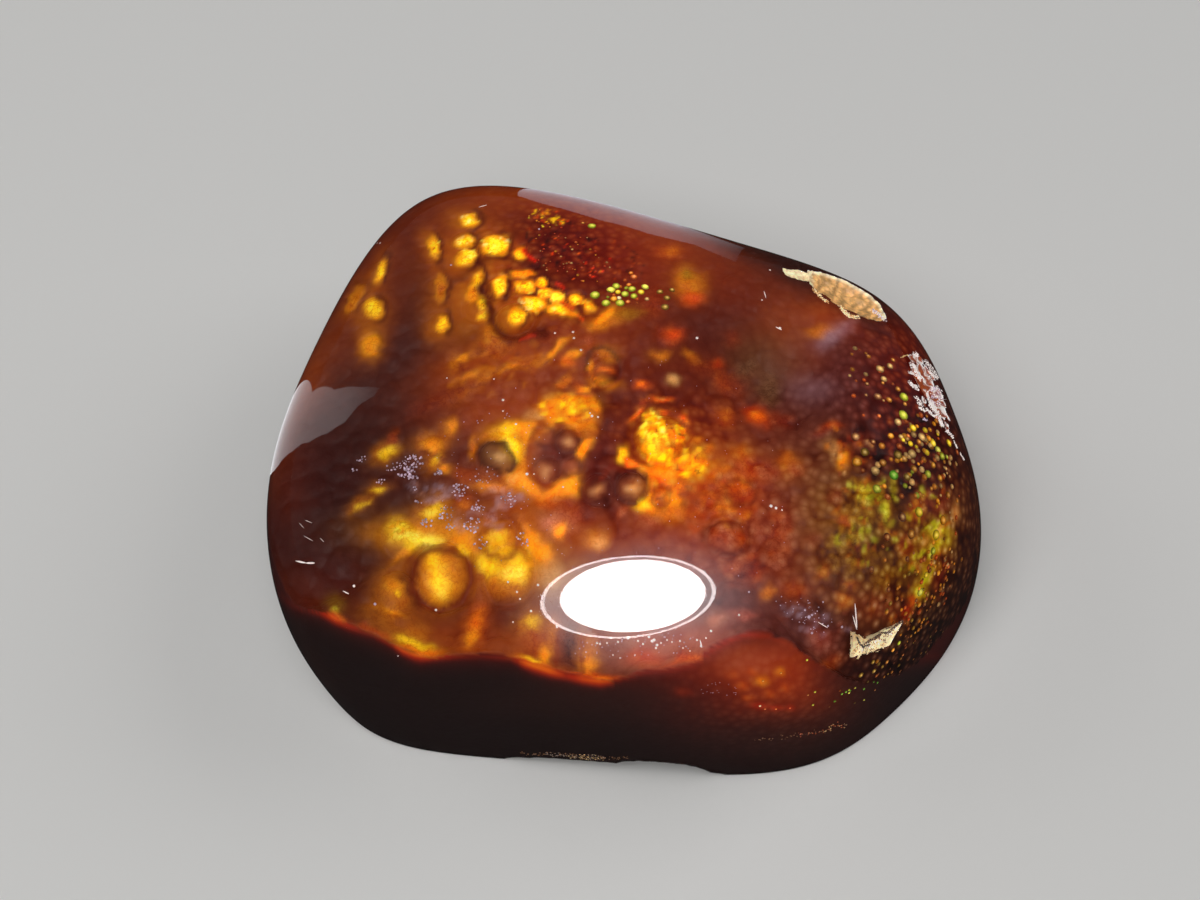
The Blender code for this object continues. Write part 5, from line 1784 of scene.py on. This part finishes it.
def matt(name, colour, roughness=0.5):
    """A plain colour with no shine."""
    material, _, shader = new_material(name)
    shader.inputs["Base Color"].default_value = (*colour, 1)
    shader.inputs["Roughness"].default_value = roughness
    shader.inputs["Specular IOR Level"].default_value = 0
    return material


fire_material = fire()
broken_material = broken()
for thing, materials in (
    (clear, (glass(), broken_material)),
    (flakes, (broken_material,)),
    (core, (fire_material,)),
    (bubbles, (fire_material,)),
    (specks, (self_painted("flaw", 0.5, 0.5),)),
):
    thing.data.materials.clear()
    for material in materials:
        thing.data.materials.append(material)
    thing.data.shade_smooth()
    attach(thing, BODY)
    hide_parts(NODE)

paint_chips(clear)

floor_corners = [(-3000, -3000, 0), (3000, -3000, 0), (3000, 3000, 0), (-3000, 3000, 0)]
floor = meshed("floor", floor_corners, [(0, 1, 2, 3)])
floor.data.materials.append(matt("pale_floor", (0.8, 0.79, 0.77), 0.7))

# --- Light and camera ---------------------------------------------------------------------------------


# What the polish mirrors, as outlines in pixels.
LEFT_CARD = (
    (262, 474), (272, 440), (280, 412), (290, 398), (312, 392), (335, 390), (360, 387), (380, 388),
    (374, 396), (358, 406), (345, 422), (328, 433), (310, 442), (292, 452), (278, 464), (268, 478),
)
BACK_CARD = (
    (503, 180), (530, 180), (560, 184), (600, 190), (640, 200), (680, 214), (720, 232), (745, 248),
    (736, 262), (720, 254), (700, 246), (675, 240), (650, 234), (625, 226), (600, 220), (570, 211),
    (540, 203), (518, 196),
)
CARD_CLEARANCE = 0.25  # mm between the floor and the lowest corner of a card
CARD_RINGS = (1, 0.94, 0.88, 0.8, 0.55, 0.3)  # how far out from a card's middle its rings of corners are
LAMP_TARGET = (0, 0, 5)  # mm


def area_light(name, place, size, radiance):
    """A square lamp of this radiance, in mm, which the polish doesn't mirror."""
    data = bpy.data.lights.new(name, "AREA")
    data.shape = "SQUARE"
    data.size = size * MM
    data.energy = radiance * math.pi * data.size**2
    lamp = in_scene(name, data)
    aim = (Vector(LAMP_TARGET) - Vector(place)).to_track_quat("-Z", "Y").to_matrix().to_4x4()
    lamp.matrix_world = Matrix.Translation(Vector(place) * MM) @ aim
    lamp.visible_glossy = False


def only_mirrored(name, corners, faces):
    """A piece of the stage, with corners in metres, that shows nowhere but in the polish."""
    mesh = bpy.data.meshes.new(name)
    mesh.from_pydata(corners, [], faces)
    thing = in_scene(name, mesh)
    thing.visible_camera = thing.visible_diffuse = False
    thing.visible_transmission = thing.visible_shadow = False
    return thing


def mirror_ray(x, y):
    """The point of the polish at a pixel and the way that light leaves it to be mirrored there, in mm."""
    point, normal = surface_at(x, y)
    ray = ray_through(x, y)
    return point, None if point is None else ray - normal * 2 * ray.dot(normal)


def card_corner(pixel, centre, distance):
    """Where a card's corner is that the polish mirrors at a pixel, in metres.

    Past the stone's edge the card goes on from the stone nearby, straight along the pixel's ray.
    """
    point, way = mirror_ray(*pixel)
    if point is None:
        while point is None:
            pixel = pixel + (centre - pixel) * 0.01
            point, _ = mirror_ray(*pixel)
        way = ray_through(*pixel)
    if way.z < 0:
        distance = min(distance, (point.z - CARD_CLEARANCE) / -way.z)
    return (point + way * distance) * MM


def ring_faces(rings, count):
    """The faces between rings of this many corners."""
    faces = []
    for ring in range(rings - 1):
        for step in range(count):
            here, after = ring * count + step, ring * count + (step + 1) % count
            faces.append((here, after, after + count, here + count))
    return faces


def mirrored_card(name, outline, distance, radiance, hole=0.0, tint=(1, 0.97, 0.98), fade=None):
    """A card, or a ring of it, that the polish mirrors as this outline of pixels and that lights nothing.

    A fade gives how bright the card is at a pixel, and at a share of the way out from its middle.
    """
    centre, count = np.mean(outline, axis=0), len(outline)
    shares = (1, hole) if hole else CARD_RINGS
    corners, fades = [], []
    for share in shares:
        for corner in np.array(outline, float):
            pixel = centre + (corner - centre) * share
            corners.append(card_corner(pixel, centre, distance))
            fades.append(fade(*pixel, share) if fade else 1)
    faces = ring_faces(len(shares), count)
    if not hole:
        corners.append(card_corner(centre, centre, distance))
        fades.append(fade(*centre, 0) if fade else 1)
        last = (len(shares) - 1) * count
        faces += [(last + step, last + (step + 1) % count, last + count) for step in range(count)]
    card = only_mirrored(name, corners, faces)
    material = matt(name, (0, 0, 0))
    tree, shader = material.node_tree, shader_of(material)
    shader.inputs["Emission Color"].default_value = (*tint, 1)
    if fade:
        give(card, "fade", "FLOAT", radiance * np.array(fades))
        plug(tree, shader, {"Emission Strength": attribute(tree, "fade")})
    else:
        shader.inputs["Emission Strength"].default_value = radiance
    card.data.materials.append(material)


def oval(x, y, half_x, half_y, turn, count=48):
    """The pixels of an ellipse's outline."""
    turn = math.radians(turn)
    found = []
    for step in range(count):
        angle = math.tau * step / count
        found.append(turned(x, y, half_x * math.cos(angle), half_y * math.sin(angle), turn))
    return found


def dark_flag(inner, outer, start, end):
    """A black ring of card on the floor that only the polish mirrors, so that the stone's sides stay dark."""
    rim = [
        (radius * math.cos(math.radians(angle)), radius * math.sin(math.radians(angle)), 0.03)
        for radius, angles in ((outer, range(start, end + 1, 5)), (inner, range(end, start - 1, -5)))
        for angle in angles
    ]
    flag = only_mirrored("dark_flag", [Vector(corner) * MM for corner in rim], [range(len(rim))])
    flag.data.materials.append(matt("black_card", (0.02, 0.02, 0.02)))


def to_edge(x, y, share):
    """Brightest in the middle."""
    return (1 - share) ** 1.7


def to_right(x, y, share):
    """Weaker towards the left card's right end."""
    return min((392 - x) / 50, 1)


def to_back_right(x, y, share):
    """Weaker towards the back card's right end."""
    return min((760 - x) / 90, 1)


dark_flag(2, 2900, -200, 160)
mirrored_card("flash", oval(633, 596, 73, 36, -4), 110, 30)
mirrored_card("flash_ring", oval(628, 597, 88, 41, -5), 111, 16, hole=0.958)
mirrored_card("flash_haze", oval(628, 597, 87, 40.5, -5), 112, 4.4, tint=(0.9, 0.96, 1))
mirrored_card("flash_bloom", oval(642, 602, 150, 80, -5), 113, 6.5, tint=(0.97, 0.94, 1), fade=to_edge)
mirrored_card("left_card", LEFT_CARD, 110, 1.15, tint=(0.95, 0.97, 1), fade=to_right)
mirrored_card("back_card", BACK_CARD, 110, 0.8, tint=(0.85, 0.9, 1), fade=to_back_right)
area_light("soft_key", (-60, -130, 280), 240, 3.1)
area_light("soft_fill", (240, 80, 200), 240, 1.3)
area_light("left_fill", (-260, 60, 160), 200, 1.05)

world = bpy.data.worlds.new("studio")
world.use_nodes = True
sky = world.node_tree.nodes["Background"]
sky.inputs["Color"].default_value = (0.9, 0.95, 1, 1)
sky.inputs["Strength"].default_value = 0.06
bpy.context.scene.world = world

lens = bpy.data.cameras.new("photo")
lens.lens, lens.sensor_width = LENS, SENSOR
lens.clip_start, lens.clip_end = 0.001, 20
camera = in_scene("photo", lens)
camera.matrix_world = Matrix.Translation(EYE * MM) @ Matrix((RIGHT, UP, -AHEAD)).transposed().to_4x4()
bpy.context.scene.camera = camera
bpy.context.scene.view_settings.view_transform = "Standard"
